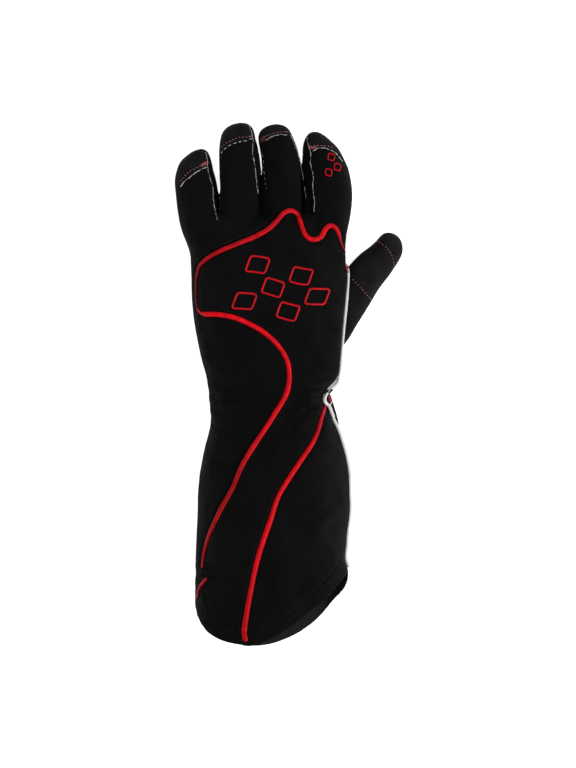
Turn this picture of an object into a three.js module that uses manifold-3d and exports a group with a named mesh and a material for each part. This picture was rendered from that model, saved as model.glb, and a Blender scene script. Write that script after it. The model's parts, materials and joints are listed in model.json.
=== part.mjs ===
// Long-gauntlet karting glove for the left hand, lying on its palm.
// Millimetres. +X points to the thumb side, +Y to the fingertips, +Z up.
// Z = 0 is the surface the glove lies on; X = Y = 0 is the middle of its outline.
// The glove is a hollow cloth shell: an outer form and the same form moved in by
// one wall, lofted from the tables below, cut along its real seams into panels.
import * as THREE from 'three';
import { mergeVertices } from 'three/addons/utils/BufferGeometryUtils.js';
import Module from 'manifold-3d';

const wasm = await Module();
wasm.setup();

// ---------------------------------------------------------------- dimensions
const WALL = 1.8;            // cloth with its thin foam backing
const SEAM = 0.3;            // gap between sewn neighbours
const RED_PIPING = 1.3;      // radius of the red corded piping
const WHITE_PIPING = 1.15;   // radius of the white side piping
const WRIST_SEAM_Y = -13.0;  // palm side: hand panel above, cuff panel below
const SIDE_PIPING_TOP_Y = 88.5;
const SIDE_PIPING_END_Y = -128.0;
const WRIST_LOOP_FROM_Y = 2.6;   // the white piping leaves the side seam here
const WRIST_LOOP_TO_Y = -21.4;   // and comes back to it here
const FINGER_BACK_Y = 124.5;     // finger backs begin here, past the red line
const FINGER_PALM_Y = 119.0;     // undersides of the fingers begin here
const MIDDLE = [0.372, -0.15]; // middle of the outline in the tables below
const BODY_POINTS = 24;
const FINGER_POINTS = 16;
const PIPING_SIDES = 6;
const FLATNESS = 0.08;       // facets that lie flatter than this are joined

// Sections across the cuff, wrist and hand.
// y: along the glove; left, right: outline; top: height of the back;
// seamL, seamR: height of the widest point; under: underside before it is
// pressed flat on the surface; n: 2 is an ellipse, more is squarer.
const BODY_COLUMNS = ['y', 'left', 'right', 'top', 'seamL', 'seamR', 'under', 'n'];
const BODY = [
  [-201.6, -63.7, 37.8, 57.0, 28.0, 28.0, -1.5, 2.20],
  [-179.2, -64.4, 38.5, 56.5, 28.0, 28.0, -1.5, 2.20],
  [-151.2, -65.1, 39.5, 55.5, 27.5, 27.5, -1.5, 2.20],
  [-130.2, -65.1, 39.9, 54.5, 27.0, 27.0, -1.5, 2.20],
  [-109.2, -64.4, 39.9, 53.5, 26.5, 26.5, -1.5, 2.20],
  [-91.7, -63.5, 42.0, 52.0, 26.0, 26.0, -1.5, 2.20],
  [-74.2, -62.6, 42.6, 50.5, 25.5, 25.5, -1.2, 2.20],
  [-58.8, -60.9, 41.3, 48.5, 24.5, 25.0, -0.6, 2.20],
  [-44.1, -58.1, 38.1, 46.0, 23.5, 24.5, 0.0, 2.25],
  [-32.2, -54.7, 34.3, 43.5, 22.5, 24.0, 0.8, 2.30],
  [-23.8, -53.7, 30.4, 42.0, 21.5, 23.5, 1.4, 2.35],
  [-16.8, -54.2, 27.3, 41.0, 21.0, 23.0, 1.6, 2.40],
  [-9.8, -54.9, 26.2, 40.5, 20.5, 23.0, 1.6, 2.40],
  [-2.8, -55.4, 29.0, 40.5, 20.5, 23.5, 1.2, 2.40],
  [5.6, -56.7, 32.9, 41.0, 20.5, 24.0, 0.4, 2.45],
  [16.8, -60.0, 35.0, 42.0, 20.5, 24.5, -0.5, 2.50],
  [30.8, -63.0, 36.9, 43.2, 20.5, 25.0, -1.2, 2.55],
  [46.2, -65.8, 38.4, 44.2, 20.5, 25.5, -1.5, 2.60],
  [62.3, -67.2, 39.3, 44.5, 20.5, 25.5, -1.5, 2.60],
  [78.4, -67.4, 39.9, 43.8, 20.5, 25.0, -1.0, 2.60],
  [91.0, -68.2, 39.9, 42.2, 20.0, 24.0, -0.2, 2.60],
  [100.8, -71.4, 40.2, 40.0, 19.5, 22.5, 1.0, 2.60],
  [109.2, -74.0, 41.3, 36.8, 18.5, 20.5, 3.0, 2.60],
  [114.8, -75.2, 42.0, 32.5, 18.0, 19.0, 5.5, 2.60],
  [118.3, -75.6, 42.0, 27.5, 17.5, 18.0, 8.5, 2.60],
];

// Sections across each finger, from inside the hand to the tip.
// centre: middle of the width; half: half the width; mid: height of the
// middle; tall: half the height.
const FINGER_COLUMNS = ['y', 'centre', 'half', 'mid', 'tall'];
const FINGERS = {
  little: [
    [92.4, -58.8, 9.4, 20.5, 15.5],
    [109.2, -61.6, 12.9, 19.0, 14.8],
    [123.2, -63.0, 14.0, 15.9, 12.9],
    [134.4, -63.6, 14.4, 13.7, 11.9],
    [143.5, -64.8, 13.9, 12.4, 11.1],
    [150.5, -65.1, 12.2, 11.4, 10.4],
    [156.1, -64.5, 10.2, 11.0, 10.0],
    [160.3, -63.3, 7.1, 10.8, 9.0],
    [162.8, -61.9, 4.2, 10.6, 7.0],
    [163.9, -60.9, 1.3, 10.5, 3.4],
  ],
  ring: [
    [92.4, -33.6, 9.8, 20.5, 15.5],
    [109.2, -33.8, 13.6, 20.3, 15.5],
    [123.2, -33.5, 14.1, 18.2, 14.3],
    [135.8, -33.5, 14.1, 16.4, 13.2],
    [147.0, -33.7, 14.1, 14.7, 12.3],
    [156.8, -34.2, 13.9, 13.2, 11.6],
    [165.2, -35.0, 13.1, 12.0, 10.9],
    [172.2, -35.3, 12.0, 11.0, 10.2],
    [177.1, -34.6, 10.4, 10.8, 9.8],
    [180.6, -33.6, 7.3, 10.7, 8.6],
    [182.4, -33.0, 4.2, 10.6, 6.6],
    [183.1, -32.9, 1.3, 10.5, 3.4],
  ],
  middle: [
    [92.4, -4.5, 9.8, 20.5, 15.5],
    [109.2, -4.5, 13.7, 20.3, 15.5],
    [123.2, -4.5, 14.2, 18.2, 14.3],
    [135.8, -4.6, 14.1, 16.4, 13.2],
    [147.0, -4.8, 13.9, 14.7, 12.3],
    [155.4, -5.1, 13.6, 13.4, 11.7],
    [163.8, -6.3, 13.2, 12.2, 11.0],
    [170.1, -7.8, 12.5, 11.3, 10.4],
    [175.0, -8.9, 11.3, 11.0, 10.0],
    [178.5, -9.1, 9.2, 10.8, 9.2],
    [180.7, -8.7, 6.0, 10.7, 7.6],
    [181.9, -8.3, 3.2, 10.6, 5.6],
    [182.3, -8.0, 1.3, 10.5, 3.4],
  ],
  index: [
    [92.4, 26.6, 10.8, 20.5, 15.5],
    [109.2, 27.0, 14.7, 19.9, 15.3],
    [123.2, 27.5, 16.2, 17.4, 13.8],
    [134.4, 27.6, 16.7, 15.7, 12.8],
    [144.9, 26.9, 16.1, 14.1, 12.0],
    [152.6, 25.9, 15.1, 12.9, 11.4],
    [159.6, 24.2, 13.9, 11.9, 10.8],
    [165.9, 22.4, 11.9, 11.0, 10.0],
    [170.8, 20.4, 9.2, 10.8, 9.3],
    [174.3, 19.1, 6.2, 10.7, 7.9],
    [176.1, 18.6, 3.5, 10.6, 6.0],
    [176.8, 18.3, 1.3, 10.5, 3.4],
  ],
};

// The thumb in its own frame: y runs along it from THUMB_AT, turned by
// THUMB_TURN away from the fingers.
const THUMB_AT = [43.4, 58.8];
const THUMB_TURN = THREE.MathUtils.degToRad(-36.4);
const THUMB = [
  [-42.0, 1.4, 10.5, 12.8, 9.6],
  [-28.0, 1.0, 14.0, 12.8, 10.4],
  [-8.4, -1.0, 14.4, 12.8, 10.9],
  [5.6, -1.4, 13.5, 12.6, 10.9],
  [19.2, -1.6, 12.7, 12.2, 10.7],
  [31.5, -0.8, 11.8, 11.8, 10.5],
  [38.5, 0.2, 10.6, 11.4, 10.2],
  [44.6, 0.5, 9.6, 11.0, 9.8],
  [49.2, 0.0, 8.5, 10.8, 9.2],
  [52.6, -0.6, 6.6, 10.6, 7.8],
  [54.8, -0.7, 3.8, 10.5, 5.4],
  [55.8, -0.6, 1.3, 10.4, 2.4],
];

// Height of the seam between the back and the palm side.
const SIDE_SEAM_COLUMNS = ['y', 'seamL', 'seamR'];
const SIDE_SEAM_FINGERS = [
  [109.2, 17.4, 18.6],
  [116.0, 15.8, 16.6],
  [123.2, 14.4, 14.6],
  [135.8, 12.8, 12.8],
  [147.0, 11.4, 11.4],
  [157.0, 10.4, 10.4],
  [166.0, 9.7, 9.7],
  [176.0, 9.0, 9.0],
  [195.0, 8.6, 8.6],
];
const SIDE_STRIP = 6.0;      // height of a finger's side strip on its hidden side

// Seams seen from above, as x, y.
const KNUCKLE_LINE = [
  [39.9, 92.4], [37.4, 97.6], [35.7, 103.6], [33.6, 108.5], [29.7, 110.9],
  [26.2, 108.5], [23.1, 102.9], [18.2, 100.7], [12.9, 102.7], [9.8, 108.5],
  [8.0, 115.5], [5.2, 120.4], [1.0, 121.8], [-3.5, 119.7], [-8.4, 114.1],
  [-14.0, 107.8], [-23.1, 103.6], [-36.4, 98.2], [-49.7, 92.4], [-58.4, 86.8],
  [-62.6, 81.2], [-64.1, 72.8], [-64.3, 60.9], [-63.7, 52.8],
];
const WRIST_LINE = [
  [-63.7, 52.8], [-60.2, 49.3], [-49.0, 48.7], [-37.8, 46.9], [-26.6, 42.0],
  [-15.4, 35.0], [-6.3, 26.2], [-0.7, 16.1], [0.7, 5.6], [-1.4, -6.3],
  [-7.7, -18.2], [-16.8, -32.2], [-26.6, -46.5], [-33.6, -59.5],
  [-39.2, -72.8], [-47.2, -87.1], [-53.9, -102.2], [-58.4, -116.2],
  [-60.2, -128.8],
];
const HEEL_LINE = [[-56.7, -135.8], [-60.2, -140.3], [-62.3, -144.6], [-63.2, -150.4]];
const CUFF_LINE = [
  [25.9, -16.4], [23.4, -23.1], [20.6, -32.9], [15.4, -43.4], [7.3, -55.6],
  [-1.0, -68.6], [-7.3, -79.8], [-11.9, -93.4], [-17.8, -110.2],
  [-22.0, -124.6], [-25.5, -141.4], [-28.7, -158.2], [-30.4, -172.2],
  [-30.2, -179.2],
];
// The gauntlet's hem: the back is cut shorter than the palm side near the thumb.
const HEM_BACK = [
  [-68.6, -140.7], [-64.9, -151.2], [-62.3, -163.8], [-56.7, -172.5],
  [-46.2, -178.8], [-33.6, -182.7], [-22.4, -182.8], [-8.4, -176.8],
  [7.0, -166.2], [21.0, -154.3], [32.2, -142.1], [39.2, -133.7], [46.8, -125.4],
];
const HEM_PALM = [
  [-68.6, -140.7], [-64.9, -151.2], [-62.3, -163.1], [-56.7, -171.8],
  [-46.2, -178.1], [-33.6, -182.0], [-22.4, -183.4], [-9.8, -181.6],
  [7.7, -174.9], [21.0, -165.5], [31.5, -154.0], [39.9, -143.8], [43.0, -130.2],
  [46.8, -122.0],
];
// The white piping's hook over the wrist, and the red end under it: places on
// the thumb side of the wrist, as y, height.
const WRIST_LOOP = [[1.0, 26.2], [-1.2, 29.2], [-4.5, 31.6], [-9.5, 32.2], [-13.5, 29.8], [-16.5, 26.8], [-19.0, 24.8]];
const WRIST_END = [[-9.6, 27.2], [-8.6, 23.6], [-8.0, 19.6], [-7.6, 15.6]];
// Where the palm leather wraps over each fingertip on to the back.
const CAP_LINES = {
  little: [[-82.0, 130.2], [-76.2, 136.1], [-73.4, 140.6], [-68.3, 144.9], [-62.7, 149.0], [-58.4, 150.8], [-52.0, 152.9]],
  ring: [[-50.4, 156.8], [-45.8, 161.8], [-43.4, 164.9], [-37.8, 168.3], [-31.5, 169.9], [-25.9, 171.5], [-20.0, 173.0]],
  middle: [[-22.4, 167.6], [-18.9, 169.0], [-15.2, 170.6], [-10.8, 173.4], [-5.9, 174.8], [-0.2, 174.3], [6.4, 172.2]],
  index: [[10.5, 163.8], [15.2, 162.9], [17.8, 163.0], [23.2, 164.8], [29.3, 164.4], [33.9, 162.3], [37.9, 158.3], [44.0, 150.4]],
};
// Edges of the side strips that show between the fingers, seen from above:
// y, x of the left edge, x of the right edge. The strip lies between them.
const GUSSETS = {
  little_ring: [[113.6, -49.0, -48.6], [121.0, -50.3, -47.7], [129.0, -51.9, -47.3], [138.0, -52.8, -48.2], [149.3, -55.9, -48.4], [156.1, -56.7, -48.6], [161.7, -57.4, -48.8], [166.0, -58.9, -49.0]],
  ring_middle: [[122.6, -19.3, -18.9], [129.0, -20.3, -17.4], [135.5, -21.5, -16.0], [148.0, -22.8, -16.4], [160.6, -24.9, -17.6], [172.9, -25.2, -18.4], [180.6, -26.8, -19.0], [185.0, -27.8, -19.0]],
  middle_index: [[118.4, 16.2, 16.7], [124.8, 14.8, 18.9], [130.2, 13.3, 18.4], [141.5, 11.2, 17.6], [154.7, 7.7, 17.0], [167.0, 4.8, 15.3], [176.4, 2.1, 12.9], [185.0, 0.6, 11.4]],
};
// The thumb's two sewn lines, in the thumb's frame, as x, y.
const THUMB_TIP_LINE = [[-18.0, 45.4], [-8.7, 44.9], [1.4, 44.0], [6.7, 41.2], [10.8, 36.8], [18.0, 32.6]];
const THUMB_MID_LINE = [[-24.0, 14.4], [-8.8, 12.7], [12.4, 8.8], [24.0, 6.7]];

// ---------------------------------------------------------------- solids
const named = (columns, table) => table.map((r) => Object.fromEntries(columns.map((c, i) => [c, r[i]])));
const power = (v, e) => Math.sign(v) * Math.abs(v) ** e;
const mix = (a, b, t) => a + (b - a) * t;

// One closed solid through rings that all have the same number of points.
function loft(rings) {
  const n = rings[0].length, points = rings.flat(), index = [];
  for (let i = 0; i < rings.length - 1; i++)
    for (let j = 0; j < n; j++) {
      const a = i * n + j, b = i * n + ((j + 1) % n), c = a + n, d = b + n;
      index.push(a, b, d, a, d, c);
    }
  for (const [first, turn] of [[0, true], [(rings.length - 1) * n, false]]) {
    const ring = points.slice(first, first + n);
    const middle = [0, 1, 2].map((k) => ring.reduce((s, p) => s + p[k], 0) / n);
    points.push(middle);
    for (let j = 0; j < n; j++) {
      const a = first + j, b = first + ((j + 1) % n), c = points.length - 1;
      index.push(...(turn ? [b, a, c] : [a, b, c]));
    }
  }
  let volume = 0;
  for (let i = 0; i < index.length; i += 3) {
    const [a, b, c] = [0, 1, 2].map((k) => new THREE.Vector3(...points[index[i + k]]));
    volume += a.dot(b.cross(c));
  }
  if (volume < 0) for (let i = 0; i < index.length; i += 3) [index[i], index[i + 1]] = [index[i + 1], index[i]];
  return new THREE.BufferGeometry()
    .setAttribute('position', new THREE.Float32BufferAttribute(points.flat(), 3))
    .setIndex(index);
}

function solid(geometry) {
  const bare = geometry.clone();
  for (const name of Object.keys(bare.attributes)) if (name !== 'position') bare.deleteAttribute(name);
  const merged = mergeVertices(bare, 1e-4);
  return new wasm.Manifold(new wasm.Mesh({
    numProp: 3,
    vertProperties: new Float32Array(merged.attributes.position.array),
    triVerts: new Uint32Array(merged.index.array),
  }));
}

function surface(made) {
  const m = main(made.simplify(FLATNESS)).getMesh(), at = new Float32Array(m.numVert * 3);
  for (let i = 0; i < m.numVert; i++) at.set(m.vertProperties.subarray(i * m.numProp, i * m.numProp + 3), i * 3);
  return new THREE.BufferGeometry()
    .setAttribute('position', new THREE.BufferAttribute(at, 3))
    .setIndex(new THREE.BufferAttribute(new Uint32Array(m.triVerts), 1));
}

// A section ring: halves meet at the side heights, and nothing is below the floor.
function bodyRing(s, out) {
  const half = (s.right - s.left) / 2 + out, centre = (s.right + s.left) / 2, ring = [];
  for (let j = 0; j < BODY_POINTS; j++) {
    const a = (2 * Math.PI * j) / BODY_POINTS, n = Math.sin(a) >= 0 ? s.n : 3.0;
    const across = power(Math.cos(a), 2 / n), up = Math.abs(Math.sin(a)) ** (2 / n);
    const side = mix(s.seamL, s.seamR, (across + 1) / 2);
    const end = Math.sin(a) >= 0 ? s.top + out : s.under - out;
    ring.push([centre + half * across, s.y, Math.max(mix(side, end, up), -out)]);
  }
  return ring;
}

// A finger or thumb tube. A negative out moves its wall inwards, tip included.
function tube(table, out, place = (p) => p) {
  const rows = named(FINGER_COLUMNS, table), rings = [];
  rows.forEach((r, i) => {
    const p = rows[Math.max(0, i - 1)], q = rows[Math.min(rows.length - 1, i + 1)];
    const dy = q.y - p.y, slope = Math.hypot(dy, q.half - p.half);
    const last = i === rows.length - 1;
    const ny = last ? 1 : -(q.half - p.half) / slope;
    const y = r.y + out * ny, half = r.half + out * (last ? 0 : dy / slope);
    const fall = Math.hypot(dy, q.tall - p.tall);
    const tall = r.tall + out * (last ? 0 : dy / fall);
    if (half < 0.5 || tall < 0.5) return;
    if (rings.length && y <= rings[rings.length - 1][0][3] + 0.15) return;
    const ring = [];
    for (let j = 0; j < FINGER_POINTS; j++) {
      const a = (2 * Math.PI * j) / FINGER_POINTS, n = 2.25;
      ring.push([
        r.centre + half * power(Math.cos(a), 2 / n), y,
        Math.max(r.mid + tall * power(Math.sin(a), 2 / n), -out), y,
      ]);
    }
    rings.push(ring);
  });
  return loft(rings.map((ring) => ring.map(([x, y, z]) => place([x, y, z]))));
}

const c36 = Math.cos(THUMB_TURN), s36 = Math.sin(THUMB_TURN);
const onThumb = ([x, y, z]) => [THUMB_AT[0] + x * c36 - y * s36, THUMB_AT[1] + x * s36 + y * c36, z];

function form(out) {
  const rows = named(BODY_COLUMNS, BODY);
  const rings = rows.map((s, i) => {
    const end = i === rows.length - 1 ? out : i === 0 && out < 0 ? out : 0;
    const ring = bodyRing(s, out);
    return ring.map(([x, y, z]) => [x, y + end, z]);
  });
  let made = solid(loft(rings));
  for (const finger of Object.values(FINGERS)) made = made.add(solid(tube(finger, out)));
  return made;
}

const hand = form(0);
const hollow = form(-WALL);
const thumbHollow = solid(tube(THUMB, -WALL, onThumb));
const cloth = hand.subtract(hollow).subtract(thumbHollow);

// ---------------------------------------------------------------- regions
// A long block whose section at each row is a four-cornered figure in X and Z.
// The corner order is turned for the block above a seam, so that its lower
// face and the upper face of the block below it are split alike.
const block = (rows, upper = false) => solid(loft(rows.map(([y, x0, x1, low, lowR, high, highR]) => (upper
  ? [[x1, y, lowR], [x0, y, low], [x0, y, high], [x1, y, highR]]
  : [[x0, y, low], [x1, y, lowR], [x1, y, highR], [x0, y, high]]))));

const seamRows = (() => {
  const rows = named(BODY_COLUMNS, BODY).filter((r) => r.y < 105).map((r) => {
    const tilt = (r.seamR - r.seamL) / (r.right - r.left);
    return [r.y, r.seamL - tilt * 30, r.seamR + tilt * 60, r.left - 30, r.right + 60];
  });
  rows[0][0] = -230;
  return rows.concat(SIDE_SEAM_FINGERS.map(([y, l, r]) => [y, l, r, -110, 105]));
})();
const palmSide = block(seamRows.map(([y, l, r, a, b]) => [y, a, b, -40, -40, l - SEAM / 2, r - SEAM / 2]));
const backSide = block(seamRows.map(([y, l, r, a, b]) => [y, a, b, l + SEAM / 2, r + SEAM / 2, 90, 90]), true);

const curve = (line, per = 2) => {
  const c = new THREE.CatmullRomCurve3(line.map(([x, y]) => new THREE.Vector3(x, y, 0)), false, 'centripetal');
  return c.getPoints((line.length - 1) * per).map((p) => [p.x, p.y]);
};

// Everything inside a closed outline seen from above.
function above(outline) {
  const g = new THREE.ExtrudeGeometry(new THREE.Shape(outline.map(([x, y]) => new THREE.Vector2(x, y))), { depth: 160, bevelEnabled: false });
  return solid(g.translate(0, 0, -40));
}

// A thin upright wall along a line: the gap that a seam leaves.
function slit(line, place = (p) => p, width = SEAM) {
  return solid(loft(line.map(([x, y], i) => {
    const [ax, ay] = line[Math.max(0, i - 1)], [bx, by] = line[Math.min(line.length - 1, i + 1)];
    const l = Math.hypot(bx - ax, by - ay), nx = (-(by - ay) / l) * width / 2, ny = ((bx - ax) / l) * width / 2;
    return [[x - nx, y - ny, -30], [x + nx, y + ny, -30], [x + nx, y + ny, 100], [x - nx, y - ny, 100]].map(place);
  })));
}

const knuckleLine = curve(KNUCKLE_LINE), cuffLine = curve(CUFF_LINE);
const wristLine = curve([...WRIST_LINE, ...HEEL_LINE]);
const turnAt = KNUCKLE_LINE[KNUCKLE_LINE.length - 1], heelAt = HEEL_LINE[HEEL_LINE.length - 1];
const cuffTop = CUFF_LINE[0], cuffEnd = CUFF_LINE[CUFF_LINE.length - 1], knuckleTop = KNUCKLE_LINE[0];

const knuckleRegion = above([...knuckleLine, [-110, turnAt[1]], [-110, 230], [110, 230], [110, knuckleTop[1]]]);
const ulnarRegion = above([...wristLine, [-110, heelAt[1]], [-110, turnAt[1]]]);
const backRegion = above([
  ...knuckleLine, ...wristLine.slice(1), [-110, heelAt[1]], [-110, -240], [cuffEnd[0], -240],
  ...cuffLine.slice().reverse(), [110, cuffTop[1]], [110, knuckleTop[1]],
]);
const radialRegion = above([...cuffLine, [cuffEnd[0], -240], [110, -240], [110, cuffTop[1]]]);

const slits = [
  slit([[110, knuckleTop[1]], ...knuckleLine, ...wristLine.slice(1), [-110, heelAt[1]]]),
  slit([turnAt, [-110, turnAt[1]]]),
  slit([[110, cuffTop[1]], ...cuffLine, [cuffEnd[0], -240]]),
].reduce((a, b) => a.add(b));

const hemBack = above([...curve(HEM_BACK), [110, -60], [110, 260], [-110, 260], [-110, -60]]);
const hemPalm = above([...curve(HEM_PALM), [110, -60], [110, 260], [-110, 260], [-110, -60]]);

// Side strips between the fingers: each covers the sides of both fingers.
const seamAt = (y) => {
  const s = SIDE_SEAM_FINGERS;
  const i = Math.max(0, Math.min(s.length - 2, s.findIndex((r) => r[0] > y) - 1));
  return mix(s[i][1], s[i + 1][1], (y - s[i][0]) / (s[i + 1][0] - s[i][0]));
};
function gusset(table, leftFinger, rightFinger, grow) {
  const g = grow, ends = table.map((r) => [...r]);
  ends[0][0] -= g;
  const shown = block(ends.map(([y, a, b]) => [y, a - g, b + g, seamAt(y) + SEAM / 2, seamAt(y) + SEAM / 2, 90, 90]));
  const hidden = block(ends.map(([y]) => {
    const z = seamAt(y);
    return [y, leftFinger, rightFinger, z + SEAM / 2, z + SEAM / 2, z + SIDE_STRIP + g, z + SIDE_STRIP + g];
  }));
  return shown.add(hidden);
}
const GUSSET_REACH = { little_ring: [-60, -36], ring_middle: [-32, -8], middle_index: [-3, 24] };
const gussets = Object.entries(GUSSETS).map(([name, table]) => ({
  name, keep: gusset(table, ...GUSSET_REACH[name], 0), clear: gusset(table, ...GUSSET_REACH[name], SEAM),
}));
const gussetClear = gussets.map((g) => g.clear).reduce((a, b) => a.add(b));

const capRegion = (line) => above([...curve(line, 2), [line[line.length - 1][0], 200], [line[0][0], 200]]);
const caps = Object.entries(CAP_LINES).map(([name, line]) => ({ name, region: capRegion(line), slit: slit(curve(line, 2)) }));
const capSlits = caps.map((c) => c.slit).reduce((a, b) => a.add(b));
const capRegions = caps.map((c) => c.region).reduce((a, b) => a.add(b));

const wristCut = slit([[-110, WRIST_SEAM_Y], [110, WRIST_SEAM_Y]]);
const handRegion = above([[-110, WRIST_SEAM_Y], [110, WRIST_SEAM_Y], [110, 240], [-110, 240]]);
const cuffRegion = above([[-110, -240], [110, -240], [110, WRIST_SEAM_Y], [-110, WRIST_SEAM_Y]]);
const upTo = (y) => above([[-110, -240], [110, -240], [110, y - SEAM / 2], [-110, y - SEAM / 2]]);
const past = (y) => above([[-110, y + SEAM / 2], [110, y + SEAM / 2], [110, 240], [-110, 240]]);

// ---------------------------------------------------------------- panels
const back = cloth.intersect(backSide).intersect(hemBack);
const palm = cloth.intersect(palmSide).intersect(hemPalm);
const fingerBacks = back.subtract(gussetClear);
const thumbShell = solid(tube(THUMB, 0, onThumb)).subtract(thumbHollow).subtract(form(SEAM));
const thumbTip = slit(curve(THUMB_TIP_LINE), onThumb), thumbMid = slit(curve(THUMB_MID_LINE), onThumb);
const beyond = (line) => {
  const c = curve(line), far = [...c, [40, 90], [-40, 90]].map(([x, y]) => onThumb([x, y, 0]));
  return above(far.map(([x, y]) => [x, y]));
};
const tipRegion = beyond(THUMB_TIP_LINE), midRegion = beyond(THUMB_MID_LINE);

// Keeps the largest body of a cut, so no sliver of a seam is left behind.
function main(made) {
  return made.decompose().sort((a, b) => b.volume() - a.volume())[0];
}

// The four fingers of a cut that lies wholly past their roots, little finger first.
function fingersOf(made) {
  const middle = (b) => { const q = b.boundingBox(); return (q.min[0] + q.max[0]) / 2; };
  return made.decompose().sort((a, b) => b.volume() - a.volume()).slice(0, 4).sort((a, b) => middle(a) - middle(b));
}

const materials = {
  black_cloth: new THREE.MeshStandardMaterial({ name: 'black_cloth', color: 0x141415, roughness: 0.82, metalness: 0 }),
  black_suede: new THREE.MeshStandardMaterial({ name: 'black_suede', color: 0x1b1b1c, roughness: 0.95, metalness: 0 }),
  gusset_knit: new THREE.MeshStandardMaterial({ name: 'gusset_knit', color: 0x0c0d14, roughness: 0.9, metalness: 0 }),
  red_piping: new THREE.MeshStandardMaterial({ name: 'red_piping', color: 0xd0121f, roughness: 0.5, metalness: 0 }),
  white_piping: new THREE.MeshStandardMaterial({ name: 'white_piping', color: 0xe6e6e2, roughness: 0.6, metalness: 0 }),
};
const glove = new THREE.Group();
glove.name = 'karting_glove';
glove.position.set(-MIDDLE[0], -MIDDLE[1], 0);
function add(name, geometry, material) {
  const mesh = new THREE.Mesh(geometry, materials[material]);
  mesh.name = name;
  glove.add(mesh);
  return mesh;
}

const knuckles = fingerBacks.intersect(knuckleRegion).subtract(slits).subtract(capRegions).subtract(capSlits);
add('knuckle_panel', surface(main(knuckles.intersect(upTo(FINGER_BACK_Y)))), 'black_cloth');
fingersOf(knuckles.intersect(past(FINGER_BACK_Y))).forEach((f, i) => add('finger_back_' + Object.keys(FINGERS)[i], surface(f), 'black_cloth'));
add('hand_back_panel', surface(main(fingerBacks.intersect(backRegion).subtract(slits))), 'black_cloth');
add('ulnar_side_panel', surface(main(back.intersect(ulnarRegion).subtract(slits))), 'black_cloth');
add('radial_cuff_panel', surface(main(back.intersect(radialRegion).subtract(slits))), 'black_cloth');
const palmHand = palm.intersect(handRegion).subtract(wristCut);
add('palm_panel', surface(main(palmHand.intersect(upTo(FINGER_PALM_Y)))), 'black_suede');
fingersOf(palmHand.intersect(past(FINGER_PALM_Y))).forEach((f, i) => add('finger_palm_' + Object.keys(FINGERS)[i], surface(f), 'black_suede'));
add('palm_cuff_panel', surface(main(palm.intersect(cuffRegion).subtract(wristCut))), 'black_cloth');
for (const g of gussets) add('gusset_' + g.name, surface(main(back.intersect(g.keep))), 'gusset_knit');
for (const c of caps) add('fingertip_cap_' + c.name, surface(main(fingerBacks.intersect(c.region).subtract(c.slit))), 'black_suede');
add('thumb_base', surface(main(thumbShell.subtract(midRegion).subtract(thumbMid))), 'black_suede');
add('thumb_middle', surface(main(thumbShell.intersect(midRegion).subtract(thumbMid).subtract(tipRegion).subtract(thumbTip))), 'black_suede');
add('thumb_tip', surface(main(thumbShell.intersect(tipRegion).subtract(thumbTip))), 'black_suede');

// ---------------------------------------------------------------- pipings
// A point on the outside of the hand under a place seen from above, moved out
// along the surface by lift, so that the result is at that place.
const outside = new THREE.Mesh(surface(hand), new THREE.MeshBasicMaterial({ side: THREE.DoubleSide }));
outside.geometry.computeBoundingSphere();
const ray = new THREE.Raycaster();
function hit(from, direction) {
  ray.set(from, direction);
  const found = ray.intersectObject(outside)[0];
  const normal = found.face.normal.clone();
  return { point: found.point, normal: normal.dot(direction) > 0 ? normal.negate() : normal };
}
function lifted(x, y, lift) {
  const down = new THREE.Vector3(0, 0, -1);
  let at = [x, y], result;
  for (let k = 0; k < 4; k++) {
    const { point, normal } = hit(new THREE.Vector3(at[0], at[1], 200), down);
    result = point.clone().addScaledVector(normal, lift);
    at = [at[0] + 0.7 * (x - result.x), at[1] + 0.7 * (y - result.y)];
  }
  return result;
}
function piping(points, radius, steps) {
  const shape = new THREE.Shape();
  for (let j = 0; j < PIPING_SIDES; j++) {
    const a = (2 * Math.PI * (j + 0.5)) / PIPING_SIDES;
    if (j) shape.lineTo(radius * Math.cos(a), radius * Math.sin(a));
    else shape.moveTo(radius * Math.cos(a), radius * Math.sin(a));
  }
  return new THREE.ExtrudeGeometry(shape, {
    steps, bevelEnabled: false, extrudePath: new THREE.CatmullRomCurve3(points, false, 'centripetal'),
  });
}
const PIPING_LIFT = SEAM + 0.35;
const along = (line, radius, every) => line.filter((_, i) => i % every === 0 || i === line.length - 1)
  .map(([x, y]) => lifted(x, y, radius + PIPING_LIFT));
const trimmed = (line, from, to) => line.slice(from, line.length - to);
const redLine = [...curve(KNUCKLE_LINE, 2), ...curve(WRIST_LINE, 2).slice(1)];
add('knuckle_piping', surface(solid(piping(along(trimmed(redLine, 1, 0), RED_PIPING, 1), RED_PIPING, 72))), 'red_piping');
add('heel_piping', surface(solid(piping(along(curve(HEEL_LINE, 1), RED_PIPING, 1), RED_PIPING, 6))), 'red_piping');
add('cuff_piping', surface(solid(piping(along([[24.7, -19.2], ...CUFF_LINE.slice(1, -1), [-30.3, -177.2]], RED_PIPING, 1), RED_PIPING, 20))), 'red_piping');

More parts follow.
